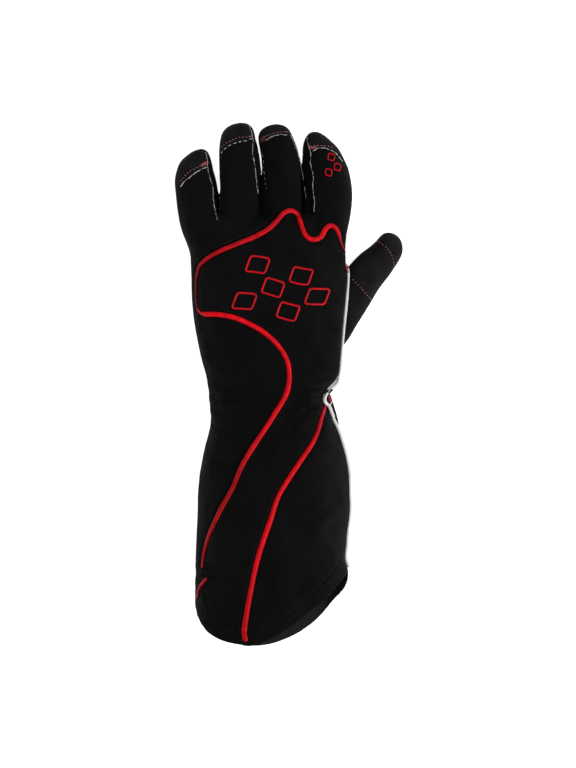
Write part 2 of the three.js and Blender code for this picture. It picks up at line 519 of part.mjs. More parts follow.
// The white piping follows the seam on the thumb side.
function sidePoint(y) {
  const rows = named(BODY_COLUMNS, BODY), i = Math.min(rows.length - 2, rows.findIndex((r) => r.y > y) - 1);
  const z = mix(rows[i].seamR, rows[i + 1].seamR, (y - rows[i].y) / (rows[i + 1].y - rows[i].y));
  const { point } = hit(new THREE.Vector3(150, y, z), new THREE.Vector3(-1, 0, 0));
  return point.add(new THREE.Vector3(WHITE_PIPING + PIPING_LIFT, 0, 0));
}
function wristPoint([y, z], radius) {
  const { point, normal } = hit(new THREE.Vector3(150, y, z), new THREE.Vector3(-1, 0, 0));
  return point.addScaledVector(normal, radius + PIPING_LIFT);
}
const sidePath = (from, to, count) => Array.from({ length: count }, (_, i) => sidePoint(mix(from, to, i / (count - 1))));
add('side_piping_hand', surface(solid(piping(sidePath(SIDE_PIPING_TOP_Y, WRIST_LOOP_FROM_Y, 13), WHITE_PIPING, 16))), 'white_piping');
add('side_piping_cuff', surface(solid(piping(sidePath(WRIST_LOOP_TO_Y, SIDE_PIPING_END_Y, 20), WHITE_PIPING, 22))), 'white_piping');
add('wrist_loop', surface(solid(piping(WRIST_LOOP.map((p) => wristPoint(p, WHITE_PIPING)), WHITE_PIPING, 14))), 'white_piping');
add('wrist_piping_end', surface(solid(piping(WRIST_END.map((p) => wristPoint(p, RED_PIPING)), RED_PIPING, 6))), 'red_piping');

export default glove;
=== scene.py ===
"""Karting glove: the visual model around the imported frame.

Every length below is in millimetres in the tables' own frame; meshes are made in
metres, moved so that the middle of the outline is at X = Y = 0.
"""
import json
import math

import bpy
import numpy as np
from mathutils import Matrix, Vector
from mathutils.bvhtree import BVHTree
from mathutils.kdtree import KDTree


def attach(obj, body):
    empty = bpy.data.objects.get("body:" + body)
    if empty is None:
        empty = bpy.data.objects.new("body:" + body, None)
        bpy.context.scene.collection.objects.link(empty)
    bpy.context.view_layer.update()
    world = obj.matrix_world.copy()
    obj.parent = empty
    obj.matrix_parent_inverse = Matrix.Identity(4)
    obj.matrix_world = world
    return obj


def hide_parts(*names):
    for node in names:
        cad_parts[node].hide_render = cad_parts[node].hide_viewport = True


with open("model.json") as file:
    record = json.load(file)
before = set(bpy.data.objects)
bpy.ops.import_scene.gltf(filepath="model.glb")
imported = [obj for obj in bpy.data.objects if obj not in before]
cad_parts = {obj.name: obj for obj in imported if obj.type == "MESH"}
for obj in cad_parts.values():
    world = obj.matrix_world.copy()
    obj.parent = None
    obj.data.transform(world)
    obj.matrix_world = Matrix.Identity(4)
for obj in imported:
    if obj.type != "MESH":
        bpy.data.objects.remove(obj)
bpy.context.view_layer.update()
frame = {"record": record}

MIDDLE = np.array([0.372, -0.15, 0.0])
VOXEL = 1.0       # size of the cloth mesh's faces
THICK = 1.5                         # cloth
RNG = np.random.default_rng(41)

# ------------------------------------------------------------------ tables
# y, left, right, top, height of the left and right side seam, underside, squareness
BODY = np.array([
    [-201.6, -63.7, 37.8, 57.0, 28.0, 28.0, -1.5, 2.20],
    [-179.2, -64.4, 38.5, 56.5, 28.0, 28.0, -1.5, 2.20],
    [-151.2, -64.2, 40.2, 55.5, 27.5, 27.5, -1.5, 2.20],
    [-137.2, -63.7, 41.0, 54.8, 27.2, 27.2, -1.5, 2.20],
    [-130.2, -63.5, 41.3, 54.5, 27.0, 27.0, -1.5, 2.20],
    [-124.0, -63.6, 39.2, 54.1, 26.8, 26.8, -1.5, 2.20],
    [-109.2, -63.4, 40.4, 53.5, 26.5, 26.5, -1.5, 2.20],
    [-91.7, -62.7, 43.3, 52.0, 26.0, 26.0, -1.5, 2.20],
    [-74.2, -62.4, 43.1, 50.5, 25.5, 25.5, -1.2, 2.20],
    [-58.8, -60.9, 41.5, 48.5, 24.5, 25.0, -0.6, 2.20],
    [-44.1, -58.3, 38.2, 46.0, 23.5, 24.5, 0.0, 2.25],
    [-32.2, -54.9, 34.3, 43.5, 22.5, 24.0, 0.8, 2.30],
    [-23.8, -53.8, 30.1, 42.0, 21.5, 23.5, 1.4, 2.35],
    [-16.8, -54.3, 26.7, 41.0, 21.0, 23.0, 1.6, 2.40],
    [-12.0, -54.7, 24.6, 40.6, 20.7, 23.0, 1.6, 2.40],
    [-7.0, -55.2, 25.0, 40.5, 20.5, 23.2, 1.5, 2.40],
    [-2.8, -55.6, 27.8, 40.5, 20.5, 23.5, 1.2, 2.40],
    [1.0, -56.2, 31.6, 40.7, 20.5, 23.8, 0.8, 2.42],
    [5.6, -57.0, 34.2, 41.0, 20.5, 24.0, 0.4, 2.45],
    [16.8, -60.2, 35.6, 42.0, 20.5, 24.5, -0.5, 2.50],
    [30.8, -63.2, 36.9, 43.2, 20.5, 25.0, -1.2, 2.55],
    [46.2, -65.8, 38.4, 44.2, 20.5, 25.5, -1.5, 2.60],
    [62.3, -67.2, 40.0, 44.5, 20.5, 25.5, -1.5, 2.60],
    [75.0, -67.4, 40.9, 44.0, 20.5, 25.1, -1.1, 2.60],
    [84.0, -67.8, 40.2, 43.2, 20.3, 24.5, -0.6, 2.60],
    [91.0, -68.3, 39.9, 42.2, 20.0, 24.0, -0.2, 2.60],
    [100.8, -71.4, 40.2, 40.0, 19.5, 22.5, 1.0, 2.60],
    [109.2, -74.0, 41.3, 36.8, 18.5, 20.5, 3.0, 2.60],
    [114.8, -75.2, 42.0, 32.5, 18.0, 19.0, 5.5, 2.60],
    [118.3, -75.6, 42.0, 27.5, 17.5, 18.0, 8.5, 2.60],
])
# y, centre, half width, height of the middle, half height
FINGERS = {
    "little": [[92.4, -58.8, 9.4, 20.5, 15.5], [109.2, -61.6, 12.9, 19.0, 14.8],
               [123.2, -63.2, 14.1, 15.9, 12.9], [134.4, -64.05, 14.6, 13.7, 11.9],
               [143.5, -65.1, 14.2, 12.4, 11.1], [150.5, -65.4, 12.5, 11.4, 10.4],
               [156.1, -64.7, 10.7, 11.0, 10.0], [160.6, -63.1, 7.7, 10.8, 9.0],
               [163.4, -61.8, 4.9, 10.6, 7.0], [164.9, -60.9, 1.5, 10.5, 3.4]],
    "ring": [[92.4, -33.6, 9.8, 20.5, 15.5], [109.2, -33.8, 13.6, 20.3, 15.5],
             [123.2, -33.4, 14.0, 18.2, 14.3], [135.8, -33.35, 13.85, 16.4, 13.2],
             [147.0, -34.0, 13.75, 14.7, 12.3], [156.8, -34.4, 13.7, 13.2, 11.6],
             [165.2, -35.0, 13.1, 12.0, 10.9], [172.2, -35.3, 12.0, 11.0, 10.2],
             [177.1, -34.9, 10.8, 10.8, 9.8], [180.8, -34.0, 8.1, 10.7, 8.6],
             [182.7, -33.2, 4.9, 10.6, 6.6], [183.5, -32.9, 1.5, 10.5, 3.4]],
    "middle": [[92.4, -4.5, 9.8, 20.5, 15.5], [109.2, -4.5, 13.7, 20.3, 15.5],
               [123.2, -4.5, 14.2, 18.2, 14.3], [135.8, -4.6, 14.1, 16.4, 13.2],
               [147.0, -4.4, 13.4, 14.7, 12.3], [155.4, -4.85, 13.2, 13.4, 11.7],
               [163.8, -6.2, 12.9, 12.2, 11.0], [170.1, -7.8, 12.4, 11.3, 10.4],
               [174.7, -8.9, 11.5, 11.0, 10.0], [178.0, -8.9, 9.9, 10.8, 9.2],
               [180.1, -8.4, 7.3, 10.7, 7.6], [181.4, -8.1, 4.4, 10.6, 5.6],
               [182.0, -7.9, 1.5, 10.5, 3.4]],
    "index": [[92.4, 26.6, 10.8, 20.5, 15.5], [109.2, 27.0, 14.7, 19.9, 15.3],
              [123.2, 27.75, 16.45, 17.4, 13.8], [134.4, 27.85, 16.95, 15.7, 12.8],
              [144.9, 27.2, 16.4, 14.1, 12.0], [152.6, 26.1, 15.6, 12.9, 11.4],
              [159.6, 24.5, 14.0, 11.9, 10.8], [165.9, 22.75, 12.15, 11.0, 10.0],
              [170.8, 20.8, 9.2, 10.8, 9.3], [174.3, 19.7, 6.4, 10.7, 7.9],
              [176.3, 19.2, 3.9, 10.6, 6.0], [177.1, 18.8, 1.5, 10.5, 3.4]],
}
THUMB_AT = np.array([43.4, 58.8])
THUMB_TURN = math.radians(-36.4)
THUMB = [[-42.0, 1.4, 10.5, 12.8, 9.6], [-28.0, 1.0, 14.0, 12.8, 10.4],
         [-8.4, -0.8, 14.6, 12.8, 10.9], [5.6, -1.2, 13.8, 12.6, 10.9],
         [19.2, -1.5, 13.0, 12.2, 10.7], [31.5, -0.6, 12.3, 11.8, 10.5],
         [38.5, 0.3, 11.1, 11.4, 10.2], [44.8, 0.6, 10.2, 11.0, 9.8],
         [49.6, 0.1, 9.2, 10.8, 9.2], [52.8, -0.5, 7.4, 10.6, 7.8],
         [55.1, -0.6, 4.6, 10.5, 5.4], [56.1, -0.5, 1.5, 10.4, 2.4]]
# Height of the seam between the back and the palm side along the fingers.
SIDE_SEAM = np.array([
    [109.2, 17.4, 18.6], [116.0, 15.8, 16.6], [123.2, 14.4, 14.6], [135.8, 12.8, 12.8],
    [147.0, 11.4, 11.4], [157.0, 10.4, 10.4], [166.0, 9.7, 9.7], [176.0, 9.0, 9.0], [195.0, 8.6, 8.6],
])

KNUCKLE_LINE = [
    [39.9, 92.4], [37.4, 97.6], [35.7, 103.6], [33.6, 108.5], [29.7, 110.9], [26.2, 108.5],
    [23.1, 102.9], [18.2, 100.7], [12.9, 102.7], [9.8, 108.5], [8.0, 115.5], [5.2, 120.4],
    [1.0, 121.8], [-3.5, 119.7], [-8.4, 114.1], [-14.5, 108.3], [-23.8, 103.4], [-36.4, 98.2],
    [-49.7, 92.4], [-58.4, 86.8], [-62.6, 81.2], [-64.1, 72.8], [-64.3, 60.9], [-63.7, 52.8],
]
WRIST_LINE = [
    [-63.7, 52.8], [-60.2, 49.3], [-49.0, 48.7], [-37.8, 46.9], [-26.6, 42.0], [-15.4, 35.0],
    [-6.3, 26.2], [-0.7, 16.1], [0.7, 5.6], [-1.4, -6.3], [-7.7, -18.2], [-16.8, -32.2],
    [-26.6, -46.5], [-33.6, -59.5], [-39.2, -72.8], [-47.2, -87.1], [-53.9, -102.2],
    [-58.4, -116.2], [-60.2, -128.8],
]
HEEL_LINE = [[-56.7, -135.8], [-60.2, -140.3], [-62.3, -144.6], [-63.2, -150.4]]
CUFF_LINE = [
    [26.6, -15.6], [23.8, -23.1], [20.6, -32.9], [15.4, -43.4], [7.3, -55.6], [-1.0, -68.6],
    [-7.3, -79.8], [-11.9, -93.4], [-17.8, -110.2], [-22.0, -124.6], [-25.5, -141.4],
    [-28.9, -158.2], [-30.9, -171.5], [-30.5, -177.0], [-28.6, -181.2],
]
HEM_BACK = [
    [-68.6, -140.7], [-64.9, -151.2], [-62.3, -163.8], [-57.1, -172.9], [-46.9, -179.5],
    [-33.6, -182.7], [-22.4, -182.8], [-8.4, -176.8], [7.0, -166.2], [21.0, -154.3],
    [32.2, -142.1], [39.2, -133.7], [46.8, -125.4],
]
HEM_PALM = [
    [-68.6, -140.7], [-64.9, -151.2], [-62.3, -163.1], [-57.1, -172.2], [-46.9, -178.8],
    [-33.6, -182.0], [-22.4, -183.2], [-9.6, -181.2], [7.3, -174.0], [20.3, -164.2],
    [30.6, -152.7], [39.2, -142.7], [43.0, -130.2], [46.8, -122.0],
]
CAP_LINES = {
    "little": [[-82.0, 130.2], [-76.2, 136.1], [-73.4, 140.6], [-68.3, 144.9], [-62.7, 149.0], [-58.4, 150.8], [-52.0, 152.9]],
    "ring": [[-50.4, 156.8], [-45.8, 161.4], [-43.4, 164.2], [-37.8, 167.4], [-31.5, 168.9], [-25.9, 170.5], [-20.0, 172.0]],
    "middle": [[-22.4, 167.6], [-18.9, 169.0], [-15.2, 170.6], [-10.8, 173.4], [-5.9, 174.8], [-0.2, 174.3], [6.4, 172.2]],
    "index": [[10.5, 163.8], [15.2, 162.9], [17.8, 163.0], [23.2, 164.8], [29.3, 164.4], [33.9, 162.3], [37.9, 158.3], [44.0, 150.4]],
}
# y, x of the strip's left edge, x of its right edge, seen from above
GUSSETS = {
    "little_ring": [[113.6, -49.0, -48.6], [121.0, -50.3, -47.7], [129.0, -51.9, -47.3], [138.0, -52.8, -48.2], [149.3, -55.9, -48.4], [156.1, -56.7, -48.6], [161.7, -57.4, -48.8], [166.0, -58.9, -49.0]],
    "ring_middle": [[122.6, -19.3, -18.9], [129.0, -20.3, -17.4], [135.5, -21.5, -16.0], [148.0, -22.8, -16.4], [160.6, -24.9, -17.6], [172.9, -25.2, -18.4], [180.6, -26.8, -19.0], [185.0, -27.8, -19.0]],
    "middle_index": [[118.4, 16.2, 16.7], [124.8, 14.8, 18.9], [130.2, 13.3, 18.4], [141.5, 11.2, 17.6], [154.7, 7.7, 17.0], [167.0, 4.8, 15.3], [176.4, 2.1, 12.9], [185.0, 0.6, 11.4]],
}
SIDE_STRIP = 6.0
# Where neighbouring fingers are pressed together: y, x of the contact.
CONTACTS = [
    [[110.0, -48.4], [124.0, -48.3], [130.4, -48.0]],
    [[110.0, -19.2], [135.0, -19.0], [146.4, -19.0]],
    [[110.0, 10.7], [135.0, 10.3], [154.6, 9.6]],
]
# The two sewn lines across the thumb, in the thumb's frame.
THUMB_TIP_LINE = [[-18.0, 45.4], [-8.7, 44.9], [1.4, 44.0], [6.7, 41.2], [10.8, 36.8], [18.0, 32.6]]
THUMB_MID_LINE = [[-24.0, 14.4], [-8.8, 12.7], [12.4, 8.8], [24.0, 6.7]]
WRIST_SEAM_Y = -13.0


# ------------------------------------------------------------------ curves
def spline(points, step=0.8):
    """Centripetal Catmull-Rom through the points, resampled to even steps."""
    p = np.asarray(points, float)
    p = np.vstack([2 * p[0] - p[1], p, 2 * p[-1] - p[-2]])
    out = []
    for i in range(1, len(p) - 2):
        a, b, c, d = p[i - 1], p[i], p[i + 1], p[i + 2]
        t1 = np.linalg.norm(b - a) ** 0.5
        t2 = t1 + np.linalg.norm(c - b) ** 0.5
        t3 = t2 + np.linalg.norm(d - c) ** 0.5
        t = np.linspace(t1, t2, max(4, int(np.linalg.norm(c - b) / 0.3)), endpoint=False)[:, None]
        a1 = (t1 - t) / t1 * a + t / t1 * b
        a2 = (t2 - t) / (t2 - t1) * b + (t - t1) / (t2 - t1) * c
        a3 = (t3 - t) / (t3 - t2) * c + (t - t2) / (t3 - t2) * d
        b1 = (t2 - t) / t2 * a1 + t / t2 * a2
        b2 = (t3 - t) / (t3 - t1) * a2 + (t - t1) / (t3 - t1) * a3
        out.append((t2 - t) / (t2 - t1) * b1 + (t - t1) / (t2 - t1) * b2)
    out.append(p[-2][None])
    return resample(np.vstack(out), step)


def resample(p, step):
    s = np.concatenate([[0], np.cumsum(np.linalg.norm(np.diff(p, axis=0), axis=1))])
    n = max(2, int(round(s[-1] / step)) + 1)
    t = np.linspace(0, s[-1], n)
    return np.column_stack([np.interp(t, s, p[:, k]) for k in range(p.shape[1])])


def dense(table, step):
    """A section table with more rows, smooth along y and round at the tips."""
    t = np.asarray(table, float)
    key = np.concatenate([[0], np.cumsum(np.hypot(np.diff(t[:, 0]), np.diff(t[:, 2])))])
    slope = np.gradient(t, key, axis=0)
    n = int(key[-1] / step) + 2
    q = np.linspace(0, key[-1], n)
    i = np.clip(np.searchsorted(key, q, side="right") - 1, 0, len(key) - 2)
    h = (key[i + 1] - key[i])[:, None]
    u = ((q - key[i])[:, None]) / h
    a, b = t[i], t[i + 1]
    return ((2 * u ** 3 - 3 * u ** 2 + 1) * a + (u ** 3 - 2 * u ** 2 + u) * h * slope[i]
            + (-2 * u ** 3 + 3 * u ** 2) * b + (u ** 3 - u ** 2) * h * slope[i + 1])


def nearest(line, pts):
    """Distance in X and Y from each point to a line, how far along it, and the side (+ left)."""
    a, b = line[:-1, :2], line[1:, :2]
    ab = b - a
    ll = (ab ** 2).sum(1)
    s0 = np.concatenate([[0], np.cumsum(np.sqrt(ll))])[:-1]
    dist, along, side = (np.empty(len(pts)) for _ in range(3))
    for k in range(0, len(pts), 20000):
        p = pts[k:k + 20000, None, :2]
        t = np.clip(((p - a) * ab).sum(2) / ll, 0, 1)
        q = a + t[..., None] * ab
        d2 = ((p - q) ** 2).sum(2)
        j = d2.argmin(1)
        r = np.arange(len(j))
        dist[k:k + 20000] = np.sqrt(d2[r, j])
        along[k:k + 20000] = s0[j] + t[r, j] * np.sqrt(ll[j])
        w = p[:, 0] - a[j]
        side[k:k + 20000] = np.sign(ab[j, 0] * w[:, 1] - ab[j, 1] * w[:, 0])
    return dist, along, side


def inside(poly, pts):
    a, b = poly, np.roll(poly, -1, axis=0)
    got = np.zeros(len(pts), bool)
    for k in range(0, len(pts), 20000):
        x, y = pts[k:k + 20000, 0][:, None], pts[k:k + 20000, 1][:, None]
        hit = (a[:, 1] > y) != (b[:, 1] > y)
        with np.errstate(divide="ignore", invalid="ignore"):
            cross = x < (b[:, 0] - a[:, 0]) * (y - a[:, 1]) / (b[:, 1] - a[:, 1]) + a[:, 0]
        got[k:k + 20000] = (hit & cross).sum(1) % 2 == 1
    return got


def region(poly, pts):
    """Signed distance in X and Y to an outline, positive inside."""
    poly = np.asarray(poly, float)
    d, _, _ = nearest(np.vstack([poly, poly[:1]]), pts)
    return np.where(inside(poly, pts), d, -d)


class Ripple:
    """Smooth, fixed noise: a sum of waves with chosen lengths."""

    def __init__(self, seed, short, long, count=26, stretch=(1, 1, 1)):
        g = np.random.default_rng(seed)
        k = g.normal(size=(count, 3))
        k /= np.linalg.norm(k, axis=1, keepdims=True)
        self.k = k * (2 * np.pi / g.uniform(short, long, (count, 1))) / np.asarray(stretch)
        self.p = g.uniform(0, 2 * np.pi, count)
        self.a = (2.0 / count) ** 0.5

    def __call__(self, pts):
        out = np.zeros(len(pts))
        for k, p in zip(self.k, self.p):
            out += np.sin(pts @ k + p)
        return out * self.a


# ------------------------------------------------------------------ meshes
def to_mesh(name, verts, faces, smooth=True):
    """A mesh object from millimetres in the tables' frame; faces all of one size."""
    v = (np.asarray(verts, float) - MIDDLE) * 0.001
    f = np.asarray(faces, np.int32)
    me = bpy.data.meshes.new(name)
    me.vertices.add(len(v))
    me.vertices.foreach_set("co", v.astype(np.float32).ravel())
    n, k = f.shape
    me.loops.add(n * k)
    me.loops.foreach_set("vertex_index", f.ravel())
    me.polygons.add(n)
    me.polygons.foreach_set("loop_start", np.arange(0, n * k, k, dtype=np.int32))
    me.polygons.foreach_set("use_smooth", np.full(n, smooth))
    me.update(calc_edges=True)
    me.validate()
    obj = bpy.data.objects.new(name, me)
    bpy.context.scene.collection.objects.link(obj)
    return obj


def vertex_normals(v, t):
    fn = np.cross(v[t[:, 1]] - v[t[:, 0]], v[t[:, 2]] - v[t[:, 0]])
    out = np.zeros_like(v)
    for k in range(3):
        for c in range(3):
            out[:, c] += np.bincount(t[:, k], fn[:, c], len(v))
    return out / (np.linalg.norm(out, axis=1, keepdims=True) + 1e-12)


def edges_of(t):
    e = np.sort(np.vstack([t[:, [0, 1]], t[:, [1, 2]], t[:, [2, 0]]]), axis=1)
    return np.unique(e, axis=0)


def relax(v, e, times, amount=0.5, weight=None):
    """Smooths without shrinking."""
    deg = np.bincount(e.ravel(), minlength=len(v))[:, None] + 1e-9
    for step in range(times * 2):
        mean = np.zeros_like(v)
        for c in range(v.shape[1]):
            mean[:, c] = np.bincount(e[:, 0], v[e[:, 1], c], len(v)) + np.bincount(e[:, 1], v[e[:, 0], c], len(v))
        d = mean / deg - v
        k = amount if step % 2 == 0 else -amount * 1.04
        v = v + d * (k if weight is None else k * weight[:, None])
    return v


def ring_mesh(rings):
    """Closed mesh through rings of points."""
    r = np.asarray(rings)
    m, n = r.shape[:2]
    v = np.vstack([r.reshape(-1, 3), r[0].mean(0), r[-1].mean(0)])
    i, j = np.meshgrid(np.arange(m - 1), np.arange(n), indexing="ij")
    a, b = (i * n + j).ravel(), (i * n + (j + 1) % n).ravel()
    t = np.vstack([np.column_stack([a, b, b + n]), np.column_stack([a, b + n, a + n])])
    j = np.arange(n)
    k = (j + 1) % n
    lo, hi = m * n, m * n + 1
    t = np.vstack([t, np.column_stack([k, j, np.full(n, lo)]),
                   np.column_stack([(m - 1) * n + j, (m - 1) * n + k, np.full(n, hi)])])
    vol = np.einsum("ij,ij->i", v[t[:, 0]], np.cross(v[t[:, 1]], v[t[:, 2]])).sum()
    return v, (t if vol > 0 else t[:, ::-1])


FROM_ABOVE = 2600.0                # the tables were measured from this far above the floor
LEVEL = 24.0                        # where their scale is true


def seen(p):
    """Points with the X and Y that they have in the tables."""
    q = np.array(p, float)
    k = (FROM_ABOVE - LEVEL) / (FROM_ABOVE - q[..., 2])
    q[..., 0] *= k
    q[..., 1] *= k
    return q


def spow(v, e):
    return np.sign(v) * np.abs(v) ** e


def body_sections():
    rows = dense(BODY, 2.0)
    a = np.linspace(0, 2 * np.pi, 120, endpoint=False)
    rings = []
    for y, left, right, top, sl, sr, under, n in rows:
        e = np.where(np.sin(a) >= 0, n, 3.0)
        across = spow(np.cos(a), 2 / e)
        up = np.abs(np.sin(a)) ** (2 / e)
        side = sl + (sr - sl) * (across + 1) / 2
        z = side + (np.where(np.sin(a) >= 0, top, under) - side) * up
        x = (left + right) / 2 + (right - left) / 2 * across
        rings.append(np.column_stack([x, np.full_like(x, y), np.maximum(z, 0)]))
    return rings


def finger_sections(table):
    a = np.linspace(0, 2 * np.pi, 72, endpoint=False)
    rings = []
    for y, c, half, mid, tall in dense(table, 1.2):
        half, tall = max(half, 0.4), max(tall, 0.6)
        n = 2.25
        x = c + half * spow(np.cos(a), 2 / n)
        z = mid + tall * spow(np.sin(a), 2 / n)
        rings.append(np.column_stack([x, np.full_like(x, y), np.maximum(z, 0)]))
    return rings


COS, SIN = math.cos(THUMB_TURN), math.sin(THUMB_TURN)


def from_thumb(p):
    p = np.asarray(p, float)
    out = p.copy()
    out[..., 0] = THUMB_AT[0] + p[..., 0] * COS - p[..., 1] * SIN
    out[..., 1] = THUMB_AT[1] + p[..., 0] * SIN + p[..., 1] * COS
    return out


def to_thumb(p):
    out = np.array(p, float)
    x, y = p[..., 0] - THUMB_AT[0], p[..., 1] - THUMB_AT[1]
    out[..., 0], out[..., 1] = x * COS + y * SIN, -x * SIN + y * COS
    return out


def hull():
    """The whole outside of the glove as one surface of even faces."""
    made = [ring_mesh(body_sections())]
    made += [ring_mesh(finger_sections(t)) for t in FINGERS.values()]
    made.append(ring_mesh([from_thumb(r) for r in finger_sections(THUMB)]))
    a = np.linspace(0, 2 * np.pi, 16, endpoint=False)
    for line in CONTACTS:
        rows = resample(np.asarray(line), 2.0)
        end = np.clip((rows[-1, 0] + 0.6 - rows[:, 0]) / 7.0, 0.1, 1) ** 0.5
        made.append(ring_mesh([np.column_stack([x + 1.5 * k * np.cos(a), np.full(16, y), 9.5 + 5.5 * k * np.sin(a)])
                               for (y, x), k in zip(rows, end)]))
    v, t, off = [], [], 0
    for a, b in made:
        v.append(a)
        t.append(b + off)
        off += len(a)
    obj = to_mesh("hull_source", np.vstack(v), np.vstack(t))
    mod = obj.modifiers.new("remesh", "REMESH")
    mod.mode = "VOXEL"
    mod.voxel_size = VOXEL * 0.001
    mod.adaptivity = 0.0
    ev = obj.evaluated_get(bpy.context.evaluated_depsgraph_get())
    me = ev.to_mesh()
    me.calc_loop_triangles()
    co = np.empty(len(me.vertices) * 3, np.float32)
    me.vertices.foreach_get("co", co)
    tri = np.empty(len(me.loop_triangles) * 3, np.int32)
    me.loop_triangles.foreach_get("vertices", tri)
    ev.to_mesh_clear()
    old = obj.data
    bpy.data.objects.remove(obj)
    bpy.data.meshes.remove(old)
    return co.reshape(-1, 3).astype(float) * 1000 + MIDDLE, tri.reshape(-1, 3)


# ------------------------------------------------------------------ the form
def column(table, y, k):
    t = np.asarray(table, float)
    return np.interp(y, t[:, 0], t[:, k])


def seam_height(p):
    """Height of the side seam at each point."""
    y = p[:, 1]
    b = BODY[BODY[:, 0] < 105]
    left, right = np.interp(y, b[:, 0], b[:, 1]), np.interp(y, b[:, 0], b[:, 2])
    sl, sr = np.interp(y, b[:, 0], b[:, 4]), np.interp(y, b[:, 0], b[:, 5])
    hand = sl + (sr - sl) * (p[:, 0] - left) / (right - left)
    share = np.clip((p[:, 0] + 76) / 118, 0, 1)
    f = np.interp(y, SIDE_SEAM[:, 0], SIDE_SEAM[:, 1]) * (1 - share) + np.interp(y, SIDE_SEAM[:, 0], SIDE_SEAM[:, 2]) * share
    k = np.clip((y - 100.8) / 8.4, 0, 1)
    return hand * (1 - k) + f * k


def body_depth(p):
    """Roughly how far outside the hand and cuff a point is, in millimetres."""
    rows = [np.interp(p[:, 1], BODY[:, 0], BODY[:, k]) for k in range(8)]
    _, left, right, top, sl, sr, under, n = rows
    half = (right - left) / 2
    across = np.abs(p[:, 0] - (left + right) / 2) / half
    side = sl + (sr - sl) * (p[:, 0] - left) / (right - left)
    up = np.where(p[:, 2] > side, (p[:, 2] - side) / (top - side), (side - p[:, 2]) / (side - under))
    e = np.where(p[:, 2] > side, n, 3.0)
    g = (across ** e + np.maximum(up, 0) ** e) ** (1 / e) - 1
    return g * 20


def tube_depth(p, table):
    t = np.asarray(table, float)
    c, half, mid, tall = (np.interp(p[:, 1], t[:, 0], t[:, k]) for k in (1, 2, 3, 4))
    g = (np.abs((p[:, 0] - c) / half) ** 2.25 + np.abs((p[:, 2] - mid) / tall) ** 2.25) ** (1 / 2.25) - 1
    past = np.maximum(t[0, 0] - p[:, 1], 0) + np.maximum(p[:, 1] - t[-1, 0], 0)
    return g * 11 + past


knuckle_line = spline(KNUCKLE_LINE)
wrist_line = spline(WRIST_LINE + [[-61.2, -137.0], [-62.3, -144.6], [-63.2, -150.4]])
cuff_line = spline(CUFF_LINE)
hem_back = spline(HEM_BACK)
hem_palm = spline(HEM_PALM)
far = 110.0
KNUCKLE_REGION = np.vstack([knuckle_line, [[-far, 52.8], [-far, 230], [far, 230], [far, 92.4]]])
ULNAR_REGION = np.vstack([wrist_line, [[-far, -150.4], [-far, 52.8]]])
RADIAL_REGION = np.vstack([cuff_line, [[-28.6, -240], [far, -240], [far, -16.4]]])
HEM_BACK_REGION = np.vstack([hem_back, [[far, -60], [far, 260], [-far, 260], [-far, -60]]])
HEM_PALM_REGION = np.vstack([hem_palm, [[far, -60], [far, 260], [-far, 260], [-far, -60]]])
cap_lines = {k: spline(v, 0.6) for k, v in CAP_LINES.items()}
CAP_REGIONS = {k: np.vstack([v, [[v[-1, 0], 200], [v[0, 0], 200]]]) for k, v in cap_lines.items()}

V, T = hull()
E = edges_of(T)
V = relax(V, E, 6)
V[:, 2] = np.maximum(V[:, 2], 0)
N = vertex_normals(V, T)
BASE = V.copy()          # places before wrinkles, used for every seam


def gusset_edges(name, y):
    return column(GUSSETS[name], y, 1), column(GUSSETS[name], y, 2)


NEIGHBOURS = {"little_ring": ("little", "ring"), "ring_middle": ("ring", "middle"), "middle_index": ("middle", "index")}
GUSSET_REACH = {"little_ring": (-60, -36), "ring_middle": (-32, -8), "middle_index": (-3, 24)}


def gusset_field(name, p):
    """Positive on the strip between two fingers."""
    xa, xb = gusset_edges(name, p[:, 1])
    low = seam_height(p)
    high = low + SIDE_STRIP
    lo, hi = GUSSET_REACH[name]
    shown = np.minimum(p[:, 0] - xa, xb - p[:, 0])
    hidden = np.minimum(high - p[:, 2], np.minimum(p[:, 0] - lo, hi - p[:, 0]))
    f = np.maximum(shown, hidden)
    f = np.minimum(f, p[:, 2] - low)
    return np.minimum(f, p[:, 1] - GUSSETS[name][0][0])


# ------------------------------------------------------------------ folds
def fields(p):
    d = {}
    d["seam"] = p[:, 2] - seam_height(p)
    d["knuckle"] = region(KNUCKLE_REGION, p)
    d["ulnar"] = region(ULNAR_REGION, p)
    d["radial"] = region(RADIAL_REGION, p)
    return d


def groove(dist, width):
    return np.exp(-(dist / width) ** 2)


def pucker(dist, along, reach, seed, pitch=6.0):
    """Small folds across a seam that die away from it."""
    g = np.random.default_rng(seed)
    s = np.zeros(len(dist))
    for _ in range(7):
        s += np.sin(2 * np.pi * along / g.uniform(pitch * 0.7, pitch * 1.6) + g.uniform(0, 6.28) + dist * g.uniform(-0.12, 0.12))
    return s / 3.7 * np.exp(-dist / reach)


